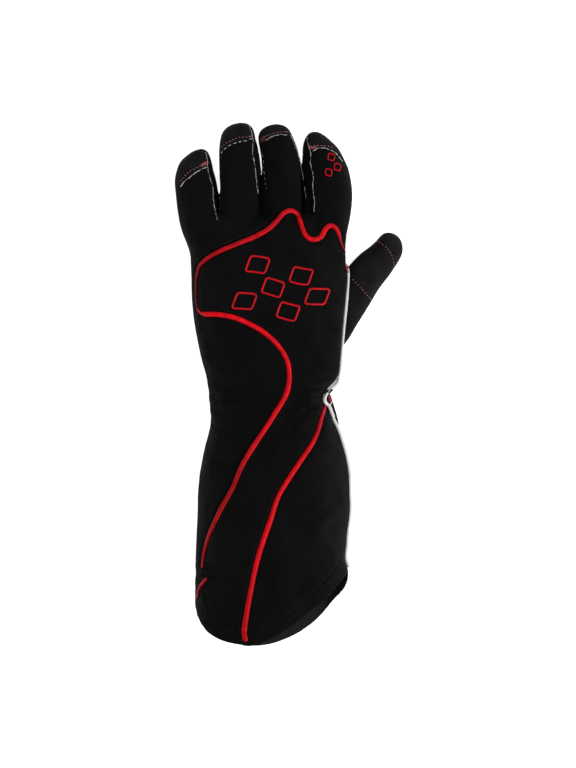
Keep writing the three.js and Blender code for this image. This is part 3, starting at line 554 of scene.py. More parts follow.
def displacement(p, n):
    up = np.clip(n[:, 2] * 3 + 0.6, 0, 1)          # the back, not the underside
    d = np.zeros(len(p))
    p = seen(p)
    red = np.vstack([knuckle_line, wrist_line[1:]])
    for line, seed, amount in ((red, 3, 0.30), (cuff_line, 5, 0.34)):
        dist, along, _ = nearest(line, p)
        d += up * (-0.75 * groove(dist, 2.2) + 0.28 * groove(dist - 4.2, 2.6) + amount * pucker(dist, along, 8.0, seed))
    for line, seed in ((hem_back, 7), (hem_palm, 8)):
        dist, along, _ = nearest(line, p)
        on = up if line is hem_back else 1 - up
        d += on * (-0.55 * groove(dist - 8.5, 0.9) + 0.35 * np.clip(1 - dist / 8.5, 0, 1) ** 0.5 + 0.22 * pucker(np.abs(dist - 8.5), along, 5.0, seed, 5.0))
    side = np.abs(p[:, 2] - seam_height(p))
    steep = np.clip(1.3 - np.abs(n[:, 2]) * 1.6, 0, 1)
    right = p[:, 0] > -10
    d += steep * (-0.35 * groove(side, 1.4) + 0.22 * pucker(side, p[:, 1], 7.0, 11, 5.5))
    # broad, soft unevenness, longer along the glove
    calm = np.clip(np.abs(n[:, 2]) * 2.2, 0.12, 1)     # the outline stays smooth
    d *= calm
    broad = Ripple(21, 26, 60, stretch=(1, 1.8, 1))(p)
    fine = Ripple(22, 9, 20, stretch=(1, 1.5, 1))(p)
    d += calm * (0.55 * broad + 0.16 * fine)
    # long folds of the cuff and gathers at the wrist
    cuff = np.clip((-30 - p[:, 1]) / 30, 0, 1)
    d += up * cuff * 0.75 * Ripple(31, 22, 40, stretch=(1, 3.2, 1))(p)
    wrist = np.exp(-((p[:, 1] + 10) / 17) ** 2)
    gathers = np.sin(2 * np.pi * (p[:, 1] + 3.5 * Ripple(33, 40, 80)(p)) / 9.5)
    d += calm * wrist * 0.6 * gathers * (0.4 + 0.6 * np.abs(Ripple(34, 20, 45)(p)))
    # the fingers close up to a point above each contact
    for line in CONTACTS:
        y1, x1 = line[-1]
        rise = p[:, 1] - y1
        d += 0.40 * np.clip(1 - rise / 6.0, 0, 1) * (rise > -2) * (np.abs(p[:, 0] - x1) < 2.6) * np.clip(np.abs(n[:, 0]) * 1.5, 0, 1)
    # and the ring finger leans on towards the middle one
    y1, x1 = CONTACTS[1][-1]
    rise = p[:, 1] - y1
    d += np.interp(rise, [0, 6, 14, 20, 32], [0.95, 0.85, 0.55, 0.4, 0.0]) * (rise > 1) * (np.abs(p[:, 0] - x1) < 4.0) * np.clip(n[:, 0], 0, 1)
    # creases over the finger joints
    for name, table in FINGERS.items():
        y0 = {"little": 133, "ring": 143, "middle": 145, "index": 139}[name]
        c = column(table, p[:, 1], 1)
        on = np.exp(-((p[:, 0] - c) / 11) ** 4) * up
        for dy, a in ((0, 0.55), (-5.5, 0.35), (6, 0.3)):
            bend = p[:, 1] - (y0 + dy) + 0.010 * (p[:, 0] - c) ** 2 * np.sign(dy + 0.1)
            d -= on * a * groove(bend, 1.5) * np.where(p[:, 1] > 118, 1, 0)
    return d


def fold(p, d, line, depth, width, lip, reach=1.0):
    """A pressed fold along a line: a narrow valley with a raised lip beside it."""
    dist, along, side = nearest(spline(line, 0.8), p)
    total = np.sum(np.linalg.norm(np.diff(np.asarray(line, float), axis=0), axis=1))
    fade = np.clip(along / 6, 0.2, 1) * np.clip((total - along) / (0.6 * total), 0, 1)
    s = dist * side
    return d + fade * (-depth * groove(dist, width) + lip * groove(s - 1.6 * width, 1.5 * width))


def settle(v, t, cell=5.2, slack=0.018, pressure=3.0, frames=20):
    """Blows the form up as cloth with its seams held, so that the panels swell and pucker
    between them. Gives coarse points, their normals and how far each moved outwards."""
    src = to_mesh("settle_source", v - vertex_normals(v, t) * 0.6, t)
    mod = src.modifiers.new("remesh", "REMESH")
    mod.mode = "VOXEL"
    mod.voxel_size = cell * 0.001
    old = src.data
    me = bpy.data.meshes.new_from_object(src.evaluated_get(bpy.context.evaluated_depsgraph_get()))
    bpy.data.objects.remove(src)
    bpy.data.meshes.remove(old)
    obj = bpy.data.objects.new("settle", me)
    bpy.context.scene.collection.objects.link(obj)
    n = len(me.vertices)
    co = np.empty(n * 3, np.float32)
    me.vertices.foreach_get("co", co)
    before = co.reshape(-1, 3).astype(float)
    nor = np.empty(n * 3, np.float32)
    me.vertex_normals.foreach_get("vector", nor)
    nor = nor.reshape(-1, 3).astype(float)
    p = before * 1000 + MIDDLE
    q = seen(p)
    near = np.full(n, 99.0)
    for line in (knuckle_line, wrist_line, cuff_line):
        dist, _, _ = nearest(line, q)
        near = np.minimum(near, np.where(nor[:, 2] > 0, dist, 99))
    for line in (hem_back, hem_palm):
        near = np.minimum(near, nearest(line, q)[0])
    near = np.minimum(near, np.abs(p[:, 2] - seam_height(p)) * 1.2)
    near = np.minimum(near, np.maximum(p[:, 2] - 1.0, 0) * 2.5)
    hold = np.clip(1.25 - near / 6.0, 0.0, 1.0)
    hold = np.maximum(hold, np.clip((np.abs(nor[:, 0]) - 0.55) * 3, 0, 1))
    hold = np.maximum(hold, np.clip((nor[:, 1] - 0.6) * 3, 0, 1))
    group = obj.vertex_groups.new(name="held")
    for i in range(n):
        group.add([i], float(hold[i]), "REPLACE")
    mod = obj.modifiers.new("cloth", "CLOTH")
    st = mod.settings
    st.quality = 6
    st.mass = 0.25
    st.tension_stiffness = st.compression_stiffness = 12.0
    st.shear_stiffness = 5.0
    st.bending_stiffness = 6.0
    st.use_pressure = True
    st.uniform_pressure_force = pressure
    st.effector_weights.gravity = 0.0
    st.vertex_group_mass = "held"
    st.pin_stiffness = 1.0
    st.shrink_min = -slack
    mod.collision_settings.use_collision = False
    mod.point_cache.frame_start, mod.point_cache.frame_end = 1, frames
    for k in range(1, frames + 1):
        bpy.context.scene.frame_set(k)
    ev = obj.evaluated_get(bpy.context.evaluated_depsgraph_get())
    after = ev.to_mesh()
    after.vertices.foreach_get("co", co)
    ev.to_mesh_clear()
    out = ((co.reshape(-1, 3) - before) * 1000 * nor).sum(1)
    bpy.context.scene.frame_set(1)
    bpy.data.objects.remove(obj)
    bpy.data.meshes.remove(me)
    return p, nor, out - np.median(out)


def spread(p, n, cp, cn, move):
    """The coarse movement at each fine point."""
    tree = KDTree(len(cp))
    for i, q in enumerate(cp):
        tree.insert(q, i)
    tree.balance()
    out = np.zeros(len(p))
    for i, q in enumerate(p):
        total = share = 1e-9
        for _, j, d in tree.find_n(q, 6):
            w = max(0.0, float(cn[j] @ n[i])) / (d * d + 2.0)
            total += w
            share += w * move[j]
        out[i] = share / total
    return out


disp = displacement(BASE, N)
swell = spread(BASE, N, *settle(V, T))
swell = relax(np.clip(swell, -2.2, 2.2)[:, None], E, 5)[:, 0]
disp += swell * np.clip(np.abs(N[:, 2]) * 1.6, 0.08, 0.9) * np.interp(BASE[:, 1], [105, 125], [1, 0.5])
top_side = np.clip(N[:, 2] * 3 + 0.8, 0, 1) * np.clip(np.abs(N[:, 2]) * 2.0, 0.35, 1)
for line, depth, width, lip in (
    ([[-57.0, -27.5], [-48.0, -31.0], [-36.0, -40.0], [-26.0, -52.0]], 1.9, 2.2, 0.9),
    ([[-57.0, -24.0], [-46.0, -20.0], [-34.0, -19.0], [-20.0, -22.0]], 0.9, 2.4, 0.6),
    ([[-66.0, -130.5], [-60.0, -131.5], [-52.0, -134.0], [-44.0, -139.0]], 1.6, 1.7, 0.9),
    ([[28.0, -9.0], [20.0, -5.0], [8.0, -4.0], [-4.0, -8.0]], 1.2, 2.2, 0.7),
    ([[26.0, -12.0], [16.0, -16.0], [6.0, -26.0], [-2.0, -40.0]], 1.1, 2.4, 0.7),
    ([[34.0, 6.0], [24.0, 12.0], [12.0, 22.0], [4.0, 36.0]], 0.8, 2.8, 0.6),
    ([[42.0, -78.0], [30.0, -84.0], [16.0, -96.0], [4.0, -114.0]], 0.8, 3.2, 0.7),
    ([[-64.0, -70.0], [-52.0, -66.0], [-40.0, -68.0], [-30.0, -76.0]], 0.8, 3.0, 0.6),
):
    disp += top_side * fold(BASE, np.zeros(len(BASE)), line, depth, width, lip)

V = BASE + N * (disp + 0.35)[:, None]
lift = np.clip(BASE[:, 2] / 3.0, 0, 1)
V[:, 2] = np.maximum(BASE[:, 2] + (V[:, 2] - BASE[:, 2]) * lift, 0.0)
V = relax(V, E, 1)
V[:, 2] = np.maximum(V[:, 2], 0.0)
N = vertex_normals(V, T)


# ------------------------------------------------------------------ panels
class Cloth:
    """Triangles with labels, cut along places where a field is zero."""

    def __init__(self, v, base, n, t):
        self.v, self.base, self.n, self.t = v, base, n, t
        self.label = np.zeros(len(t), int)

    def cut(self, where, field, label):
        """Triangles of label `where` get `label` where the field is positive."""
        f = field(self.base)
        f = np.where(np.abs(f) < 0.12, np.where(f >= 0, 0.12, -0.12), f)
        pick = np.isin(self.label, np.atleast_1d(where))
        t = self.t[pick]
        pos = f[t] > 0
        count = pos.sum(1)
        keep_t, keep_l = [self.t[~pick]], [self.label[~pick]]
        old = self.label[pick]
        full = count == 3
        keep_t += [t[full], t[count == 0]]
        keep_l += [np.full(full.sum(), label), old[count == 0]]
        for lone in (1, 2):
            m = count == lone
            tt, pp, ll = t[m], pos[m], old[m]
            if not len(tt):
                continue
            k = (pp if lone == 1 else ~pp).argmax(1)
            r = np.arange(len(tt))
            a, b, c = tt[r, k], tt[r, (k + 1) % 3], tt[r, (k + 2) % 3]
            p = self._between(a, b, f)
            q = self._between(a, c, f)
            alone = np.full(len(tt), label) if lone == 1 else ll
            rest = ll if lone == 1 else np.full(len(tt), label)
            keep_t += [np.column_stack([a, p, q]), np.column_stack([p, b, c]), np.column_stack([p, c, q])]
            keep_l += [alone, rest, rest]
        self._merge_new()
        self.t = self._map[np.vstack(keep_t)]
        self.label = np.concatenate(keep_l)
        ok = (self.t[:, 0] != self.t[:, 1]) & (self.t[:, 1] != self.t[:, 2]) & (self.t[:, 2] != self.t[:, 0])
        self.t, self.label = self.t[ok], self.label[ok]

    _new = None

    def _between(self, a, b, f):
        if self._new is None:
            self._new = []
            self._count = len(self.v)
        lo, hi = np.minimum(a, b), np.maximum(a, b)
        w = (f[lo] / (f[lo] - f[hi]))[:, None]
        self._new.append((lo, hi, w))
        index = np.arange(self._count, self._count + len(a))
        self._count += len(a)
        return index

    def _merge_new(self):
        n = len(self.v)
        if self._new is None:
            self._map = np.arange(n)
            return
        lo = np.concatenate([x[0] for x in self._new])
        hi = np.concatenate([x[1] for x in self._new])
        w = np.vstack([x[2] for x in self._new])
        self._new = None
        key = lo.astype(np.int64) * (n + 1) + hi
        _, first, back = np.unique(key, return_index=True, return_inverse=True)
        for name in ("v", "base", "n"):
            arr = getattr(self, name)
            new = arr[lo[first]] * (1 - w[first]) + arr[hi[first]] * w[first]
            setattr(self, name, np.vstack([arr, new]))
        self._map = np.concatenate([np.arange(n), n + back.ravel()])


LABELS = {}


def code(name):
    return LABELS.setdefault(name, len(LABELS) + 1)


cloth = Cloth(V, BASE, N, T)
cloth.label[:] = code("palm")


def thumb_field(p):
    return np.minimum(body_depth(p) - tube_depth(to_thumb(p), THUMB), 60.0)


def beyond(line):
    c = spline(line, 0.6)
    poly = np.vstack([c, [[40, 90], [-40, 90]]])
    return lambda p: region(poly, to_thumb(p))


def seam_field(p):
    return p[:, 2] - seam_height(p)


# Only the part of the surface that is nearer to the thumb's own tube is thumb.
near_thumb = lambda p: np.where((to_thumb(p)[:, 1] > -38) & (p[:, 0] > 24), thumb_field(p), -5.0)
cloth.cut(code("palm"), near_thumb, code("thumb_base"))
cloth.cut(code("thumb_base"), beyond(THUMB_MID_LINE), code("thumb_middle"))
cloth.cut(code("thumb_middle"), beyond(THUMB_TIP_LINE), code("thumb_tip"))
cloth.cut(code("palm"), seam_field, code("back"))
for g in GUSSETS:
    cloth.cut(code("back"), lambda p, g=g: gusset_field(g, p), code("gusset_" + g))
for c, poly in CAP_REGIONS.items():
    cloth.cut(code("back"), lambda p, poly=poly: region(poly, seen(p)), code("fingertip_cap_" + c))
cloth.cut(code("back"), lambda p: region(KNUCKLE_REGION, seen(p)), code("knuckle_panel"))
cloth.cut(code("back"), lambda p: region(ULNAR_REGION, seen(p)), code("ulnar_side_panel"))
cloth.cut(code("back"), lambda p: region(RADIAL_REGION, seen(p)), code("radial_cuff_panel"))
cloth.cut([code("back"), code("ulnar_side_panel"), code("radial_cuff_panel")], lambda p: -region(HEM_BACK_REGION, seen(p)), code("waste"))
cloth.cut(code("palm"), lambda p: -region(HEM_PALM_REGION, seen(p)), code("waste"))
cloth.cut(code("palm"), lambda p: WRIST_SEAM_Y - p[:, 1], code("palm_cuff_panel"))


def largest_part(t):
    """Drops loose scraps of a cut."""
    verts, tt = np.unique(t, return_inverse=True)
    tt = tt.reshape(-1, 3)
    parent = np.arange(len(verts))
    e = edges_of(tt)
    for _ in range(400):
        low = np.minimum(parent[e[:, 0]], parent[e[:, 1]])
        before = parent.copy()
        np.minimum.at(parent, e[:, 0], low)
        np.minimum.at(parent, e[:, 1], low)
        parent = parent[parent]
        if (parent == before).all():
            break
    lab = parent[tt[:, 0]]
    ids, counts = np.unique(lab, return_counts=True)
    return t[lab == ids[counts.argmax()]]


def panel(name, thick=THICK, edge_drop=0.35, gap=0.10):
    """One cloth panel as a closed piece with its own thickness."""
    t = largest_part(cloth.t[cloth.label == LABELS[name]])
    used, t = np.unique(t, return_inverse=True)
    t = t.reshape(-1, 3)
    v, n = cloth.v[used].copy(), cloth.n[used]
    n = n / (np.linalg.norm(n, axis=1, keepdims=True) + 1e-12)
    half = np.vstack([t[:, [0, 1]], t[:, [1, 2]], t[:, [2, 0]]])
    key = np.sort(half, axis=1)
    _, inv, cnt = np.unique(key, axis=0, return_inverse=True, return_counts=True)
    rim = half[cnt[inv.ravel()] == 1]
    on_rim = np.zeros(len(v), bool)
    on_rim[rim.ravel()] = True
    e = edges_of(t)
    mean, deg = np.zeros_like(v), np.bincount(e.ravel(), minlength=len(v))
    for c in range(3):
        mean[:, c] = np.bincount(e[:, 0], v[e[:, 1], c], len(v)) + np.bincount(e[:, 1], v[e[:, 0], c], len(v))
    inward = mean / np.maximum(deg, 1)[:, None] - v
    inward -= (inward * n).sum(1)[:, None] * n
    inward /= np.linalg.norm(inward, axis=1, keepdims=True) + 1e-9
    v[on_rim] += inward[on_rim] * gap - n[on_rim] * edge_drop
    v[:, 2] = np.maximum(v[:, 2], 0.0)
    inner = cloth.v[used] - n * thick
    inner[on_rim] += inward[on_rim] * gap
    inner[:, 2] = np.maximum(inner[:, 2], np.minimum(thick, cloth.v[used][:, 2] + thick * 0.6))
    m = len(v)
    verts = np.vstack([v, inner])
    wall = np.vstack([np.column_stack([rim[:, 1], rim[:, 0], rim[:, 0] + m]),
                      np.column_stack([rim[:, 1], rim[:, 0] + m, rim[:, 1] + m])])
    tris = np.vstack([t, t[:, ::-1] + m, wall])
    return verts, tris, cloth.base[used], m


PANELS = ["knuckle_panel", "back", "ulnar_side_panel", "radial_cuff_panel", "palm", "palm_cuff_panel",
          "gusset_little_ring", "gusset_ring_middle", "gusset_middle_index",
          "fingertip_cap_little", "fingertip_cap_ring", "fingertip_cap_middle", "fingertip_cap_index",
          "thumb_base", "thumb_middle", "thumb_tip"]
NODE_OF = {"back": "hand_back_panel", "palm": "palm_panel"}
ALSO = {"knuckle_panel": ["finger_back_" + f for f in FINGERS], "palm_panel": ["finger_palm_" + f for f in FINGERS]}


# ------------------------------------------------------------------ cloth coordinates
def cloth_uv(base, tris, m):
    """Around-and-along coordinates in metres for each corner, part by part."""
    b = np.vstack([base, base])
    mid = b[tris].mean(1)
    depth = [body_depth(mid)] + [tube_depth(mid, t) for t in FINGERS.values()] + [tube_depth(to_thumb(mid), THUMB)]
    depth[0] = np.where(mid[:, 1] > 116, 99, depth[0])
    part = np.argmin(np.abs(np.array(depth)) + np.array([[0.0]] + [[1.0]] * 5), axis=0)
    uv = np.zeros((len(tris), 3, 2))
    for k in range(6):
        pick = part == k
        if not pick.any():
            continue
        p = b[tris[pick]].reshape(-1, 3)
        if k == 0:
            rows = [np.interp(p[:, 1], BODY[:, 0], BODY[:, c]) for c in range(8)]
            cx, hx = (rows[1] + rows[2]) / 2, (rows[2] - rows[1]) / 2
            cz, hz = (rows[4] + rows[5]) / 2, (rows[3] - rows[6]) / 2
            radius = 44.0
        else:
            table = np.asarray(THUMB if k == 5 else list(FINGERS.values())[k - 1], float)
            if k == 5:
                p = to_thumb(p)
            cx, hx, cz, hz = (np.interp(p[:, 1], table[:, 0], table[:, c]) for c in (1, 2, 3, 4))
            radius = 13.5
        a = np.arctan2((p[:, 0] - cx) / hx, (p[:, 2] - cz) / hz).reshape(-1, 3)
        a[(a.max(1) - a.min(1) > np.pi)] = np.where(a[(a.max(1) - a.min(1) > np.pi)] < 0, a[(a.max(1) - a.min(1) > np.pi)] + 2 * np.pi, a[(a.max(1) - a.min(1) > np.pi)])
        uv[pick, :, 0] = a * radius * 0.001
        uv[pick, :, 1] = p[:, 1].reshape(-1, 3) * 0.001
    return uv


# ------------------------------------------------------------------ materials
def nodes_of(name):
    m = bpy.data.materials.new(name)
    m.use_nodes = True
    nt = m.node_tree
    nt.nodes.clear()
    out = nt.nodes.new("ShaderNodeOutputMaterial")
    bsdf = nt.nodes.new("ShaderNodeBsdfPrincipled")
    nt.links.new(bsdf.outputs[0], out.inputs[0])
    return m, nt, bsdf


def add(nt, kind, **values):
    n = nt.nodes.new(kind)
    for k, val in values.items():
        if k in ("op",):
            n.operation = val
        else:
            n.inputs[k.replace("_", " ")].default_value = val
    return n


def math_node(nt, op, a, b=None):
    n = nt.nodes.new("ShaderNodeMath")
    n.operation = op
    for i, x in enumerate((a, b)):
        if x is None:
            continue
        if isinstance(x, (int, float)):
            n.inputs[i].default_value = x
        else:
            nt.links.new(x, n.inputs[i])
    return n.outputs[0]


def ramp(nt, source, stops):
    n = nt.nodes.new("ShaderNodeValToRGB")
    el = n.color_ramp.elements
    el[0].position, el[0].color = stops[0][0], (*stops[0][1], 1)
    el[1].position, el[1].color = stops[-1][0], (*stops[-1][1], 1)
    for pos, col in stops[1:-1]:
        e = el.new(pos)
        e.color = (*col, 1)
    nt.links.new(source, n.inputs[0])
    return n.outputs[0]


def noise(nt, where, scale, detail=3.0, rough=0.55):
    n = nt.nodes.new("ShaderNodeTexNoise")
    n.inputs["Scale"].default_value = scale
    n.inputs["Detail"].default_value = detail
    n.inputs["Roughness"].default_value = rough
    nt.links.new(where, n.inputs["Vector"])
    return n.outputs["Fac"]


def bump(nt, bsdf, height, distance, strength=1.0):
    n = nt.nodes.new("ShaderNodeBump")
    n.inputs["Distance"].default_value = distance
    n.inputs["Strength"].default_value = strength
    nt.links.new(height, n.inputs["Height"])
    nt.links.new(n.outputs[0], bsdf.inputs["Normal"])


def cloth_material(name, dark, light, rough=(0.72, 0.92), wale=0.0009, course=0.0011, depth=0.00016, fuzz=0.25, sheen=0.10, specular=0.16):
    """A fine knit: columns of small slanted stitches, with faint lint and shading from wear."""
    m, nt, bsdf = nodes_of(name)
    uv = nt.nodes.new("ShaderNodeUVMap")
    uv.uv_map = "cloth"
    obj = nt.nodes.new("ShaderNodeTexCoord").outputs["Object"]
    sep = nt.nodes.new("ShaderNodeSeparateXYZ")
    nt.links.new(uv.outputs[0], sep.inputs[0])
    u = math_node(nt, "MULTIPLY", sep.outputs[0], 1 / wale)
    v = math_node(nt, "MULTIPLY", sep.outputs[1], 1 / course)
    saw = math_node(nt, "FRACT", u)
    tri = math_node(nt, "ABSOLUTE", math_node(nt, "SUBTRACT", saw, 0.5))
    slant = math_node(nt, "MULTIPLY", tri, 1.5)
    row = math_node(nt, "SINE", math_node(nt, "MULTIPLY", math_node(nt, "ADD", v, slant), 6.28318))
    rib = math_node(nt, "SINE", math_node(nt, "MULTIPLY", u, 12.56637))
    knit = math_node(nt, "ADD", math_node(nt, "MULTIPLY", row, 0.5), math_node(nt, "MULTIPLY", rib, 0.35))
    grain = noise(nt, obj, 2600.0, 2.0)
    height = math_node(nt, "ADD", knit, math_node(nt, "MULTIPLY", grain, 1.1))
    bump(nt, bsdf, height, depth, 0.9)
    wear = noise(nt, obj, 22.0, 4.0, 0.6)
    lint = noise(nt, obj, 900.0, 4.0, 0.7)
    mixed = math_node(nt, "ADD", math_node(nt, "MULTIPLY", wear, 0.55), math_node(nt, "MULTIPLY", lint, 0.45))
    mixed = math_node(nt, "ADD", mixed, math_node(nt, "MULTIPLY", knit, 0.05))
    col = ramp(nt, mixed, [(0.30, dark), (0.60, tuple((a + b) / 2 for a, b in zip(dark, light))), (0.80, light)])
    nt.links.new(col, bsdf.inputs["Base Color"])
    r = nt.nodes.new("ShaderNodeMapRange")
    r.inputs["To Min"].default_value, r.inputs["To Max"].default_value = rough
    nt.links.new(lint, r.inputs["Value"])
    nt.links.new(r.outputs[0], bsdf.inputs["Roughness"])
    bsdf.inputs["Specular IOR Level"].default_value = specular
    bsdf.inputs["Sheen Weight"].default_value = sheen
    bsdf.inputs["Sheen Roughness"].default_value = 0.45
    bsdf.inputs["Sheen Tint"].default_value = (0.55, 0.56, 0.60, 1)
    return m


def suede_material(name, dark, light, sheen=0.14, specular=0.12):
    """Brushed leather: a short nap that lies in patches."""
    m, nt, bsdf = nodes_of(name)
    obj = nt.nodes.new("ShaderNodeTexCoord").outputs["Object"]
    nap = noise(nt, obj, 1500.0, 4.0, 0.65)
    patch = noise(nt, obj, 70.0, 5.0, 0.6)
    pore = nt.nodes.new("ShaderNodeTexVoronoi")
    pore.inputs["Scale"].default_value = 900.0
    nt.links.new(obj, pore.inputs["Vector"])
    h = math_node(nt, "ADD", math_node(nt, "MULTIPLY", nap, 0.8), math_node(nt, "MULTIPLY", pore.outputs["Distance"], 0.5))
    h = math_node(nt, "ADD", h, math_node(nt, "MULTIPLY", patch, 0.8))
    bump(nt, bsdf, h, 0.00022, 0.8)
    mixed = math_node(nt, "ADD", math_node(nt, "MULTIPLY", patch, 0.6), math_node(nt, "MULTIPLY", nap, 0.4))
    col = ramp(nt, mixed, [(0.34, dark), (0.66, light)])
    nt.links.new(col, bsdf.inputs["Base Color"])
    bsdf.inputs["Roughness"].default_value = 0.93
    bsdf.inputs["Specular IOR Level"].default_value = specular
    bsdf.inputs["Sheen Weight"].default_value = sheen
    bsdf.inputs["Sheen Roughness"].default_value = 0.5
    bsdf.inputs["Sheen Tint"].default_value = (0.6, 0.6, 0.62, 1)
    return m


def thread_material(name, dark, light, rough=0.5, specular=0.35, scale=1800.0, sheen=0.2, uses_painted_shade=False):
    """Twisted thread: fine strands with lighter crowns."""
    m, nt, bsdf = nodes_of(name)
    obj = nt.nodes.new("ShaderNodeTexCoord").outputs["Object"]
    strand = noise(nt, obj, scale, 3.0, 0.6)
    patch = noise(nt, obj, 120.0, 3.0, 0.5)
    mixed = math_node(nt, "ADD", math_node(nt, "MULTIPLY", strand, 0.65), math_node(nt, "MULTIPLY", patch, 0.35))
    col = ramp(nt, mixed, [(0.32, dark), (0.62, light)])
    # The colour is scaled by the line's painted shade, a per-point factor that darkens it where it lies in shade.
    if uses_painted_shade:
        given = nt.nodes.new("ShaderNodeAttribute")
        given.attribute_name = "painted_shade"
        scaled = nt.nodes.new("ShaderNodeVectorMath")
        scaled.operation = "SCALE"
        nt.links.new(col, scaled.inputs[0])
        nt.links.new(given.outputs["Fac"], scaled.inputs["Scale"])
        col = scaled.outputs[0]
    nt.links.new(col, bsdf.inputs["Base Color"])
    bump(nt, bsdf, strand, 0.00010, 0.7)
    bsdf.inputs["Roughness"].default_value = rough
    bsdf.inputs["Specular IOR Level"].default_value = specular
    bsdf.inputs["Sheen Weight"].default_value = sheen
    bsdf.inputs["Sheen Roughness"].default_value = 0.4
    return m


MAT = {
    "black_cloth": cloth_material("black_cloth_knit", (0.0009, 0.0009, 0.0010), (0.0044, 0.0044, 0.0046), sheen=0.018, specular=0.06),
    # A lighter copy of the black knit for the cuff's inside wall: painted light against the shade there.
    "painted_light_lining": cloth_material("painted_light_lining_knit", (0.010, 0.010, 0.0105), (0.026, 0.026, 0.027), sheen=0.02, specular=0.06),
    "black_suede": suede_material("black_suede_nap", (0.0036, 0.0036, 0.0037), (0.0115, 0.0115, 0.0118), sheen=0.03, specular=0.05),
    "gusset_knit": cloth_material("gusset_knit_rib", (0.0010, 0.0010, 0.0026), (0.0032, 0.0032, 0.0070), wale=0.0012, course=0.0012, depth=0.0002, sheen=0.012, specular=0.04),
    "red_piping": thread_material("red_satin_thread", (0.26, 0.0002, 0.0028), (0.74, 0.0012, 0.0085), rough=0.42, specular=0.10, sheen=0.0, uses_painted_shade=True),
    "red_line": thread_material("red_embroidery_thread", (0.22, 0.0004, 0.0028), (0.58, 0.002, 0.009), rough=0.5, specular=0.12, sheen=0.0),
    "white_piping": thread_material("white_cord", (0.42, 0.42, 0.41), (0.62, 0.62, 0.61), rough=0.6, specular=0.2, sheen=0.1),
    # A grey thread used as painted shade along the white cord's outer edge.
    "painted_shade_edge": thread_material("painted_shade_cord_edge", (0.16, 0.16, 0.16), (0.34, 0.34, 0.335), rough=0.8, specular=0.1, sheen=0.0),
    "raw_edge": thread_material("raw_cut_edge", (0.09, 0.09, 0.09), (0.34, 0.34, 0.335), rough=0.9, specular=0.1, scale=1100.0, sheen=0.05),
    "pale_stitch": thread_material("pale_stitch_thread", (0.10, 0.045, 0.045), (0.32, 0.20, 0.20), specular=0.15, sheen=0.05),
    "dull_tack": thread_material("dull_bar_tack", (0.045, 0.010, 0.011), (0.13, 0.04, 0.042), specular=0.12, sheen=0.05),
    "thumb_suede": suede_material("thumb_suede_nap", (0.0042, 0.0042, 0.0043), (0.0105, 0.0105, 0.0107), sheen=0.03, specular=0.05),
    "thumb_base_suede": suede_material("thumb_base_suede_nap", (0.0026, 0.0026, 0.0027), (0.0074, 0.0074, 0.0076), sheen=0.03, specular=0.05),
    "red_stitch": thread_material("red_stitch_thread", (0.060, 0.0035, 0.006), (0.26, 0.016, 0.024), specular=0.15, sheen=0.1),
    "grey_stitch": thread_material("grey_stitch_thread", (0.14, 0.14, 0.14), (0.50, 0.50, 0.49), specular=0.15, sheen=0.1),
    "pink_tack": thread_material("faded_red_bar_tack", (0.13, 0.016, 0.024), (0.40, 0.085, 0.11), specular=0.15, sheen=0.1),
    "black_stitch": thread_material("black_stitch_thread", (0.0022, 0.0022, 0.0022), (0.010, 0.010, 0.0105), rough=0.6, specular=0.15, sheen=0.05),
}


def dress(obj, material, slot, *nodes):
    obj.data.materials.append(MAT[material])
    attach(obj, "root")
    if nodes:
        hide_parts(*nodes)
    return obj


SLOT_OF = {n["node"]: n["material_slot"] for n in frame["record"]["subparts"]}
for name in PANELS:
    node = NODE_OF.get(name, name)
    verts, tris, base, m = panel(name)
    obj = to_mesh(node + "_cloth", verts, tris)
    layer = obj.data.uv_layers.new(name="cloth")
    layer.data.foreach_set("uv", cloth_uv(base, tris, m).astype(np.float32).ravel())
    look = {"thumb_base": "thumb_base_suede", "thumb_middle": "thumb_suede", "thumb_tip": "thumb_suede"}.get(name, SLOT_OF[node])
    dress(obj, look, SLOT_OF[node], node, *ALSO.get(node, []))
    if name == "palm_cuff_panel":
        # its inside shows past the shorter back; that inside wall gets a lighter copy of the knit, painted light that
        # lifts it out of the shade it lies in
        obj.data.materials.append(MAT["painted_light_lining"])
        inside = (tris >= m).all(1) & (np.vstack([base, base])[tris].mean(1)[:, 1] < -118)
        obj.data.polygons.foreach_set("material_index", inside.astype(np.int32))

# ------------------------------------------------------------------ lines on the surface
surface_tree = BVHTree.FromPolygons([Vector(p) for p in V], [tuple(int(i) for i in t) for t in T])
smooth_n = vertex_normals(V, T)


def hit_at(p, d):
    loc, nor, idx, _ = surface_tree.ray_cast(Vector(p), Vector(d))
    if loc is None:
        q = np.array([[p[0], p[1], 0.0]])
        loc, nor, idx, _ = surface_tree.find_nearest(Vector((p[0], p[1], float(seam_height(q)[0]) + 1.0)))
    t = T[idx]
    q = np.array(loc)
    w = 1 / (np.linalg.norm(V[t] - q, axis=1) + 0.05)
    n = (smooth_n[t] * w[:, None]).sum(0)
    return q, n / np.linalg.norm(n)


def above(x, y):
    """The surface under a place in the tables."""
    z = 40.0
    for _ in range(2):
        k = (FROM_ABOVE - z) / (FROM_ABOVE - LEVEL)
        p, n = hit_at((x * k, y * k, 120.0), (0, 0, -1))
        z = p[2]
    return p, n


def smooth_line(p, times=2):
    for _ in range(times):
        p[1:-1] = p[1:-1] * 0.5 + (p[:-2] + p[2:]) * 0.25
    return p


def lay(line, step, lift=0.0, smooth=3):
    """A line seen from above, laid on the surface: places and normals."""
    q = resample(smooth_line(resample(np.asarray(line, float)[:, :2], 0.5), smooth), step)
    pts, nor = [], []
    for x, y in q:
        p, n = above(x, y)
        pts.append(p)
        nor.append(n)
    pts, nor = np.array(pts), np.array(nor)
    for _ in range(smooth * 2):
        nor[1:-1] = nor[1:-1] * 0.5 + (nor[:-2] + nor[2:]) * 0.25
    nor /= np.linalg.norm(nor, axis=1, keepdims=True)
    pts = smooth_line(pts, smooth)
    return pts + nor * lift, nor


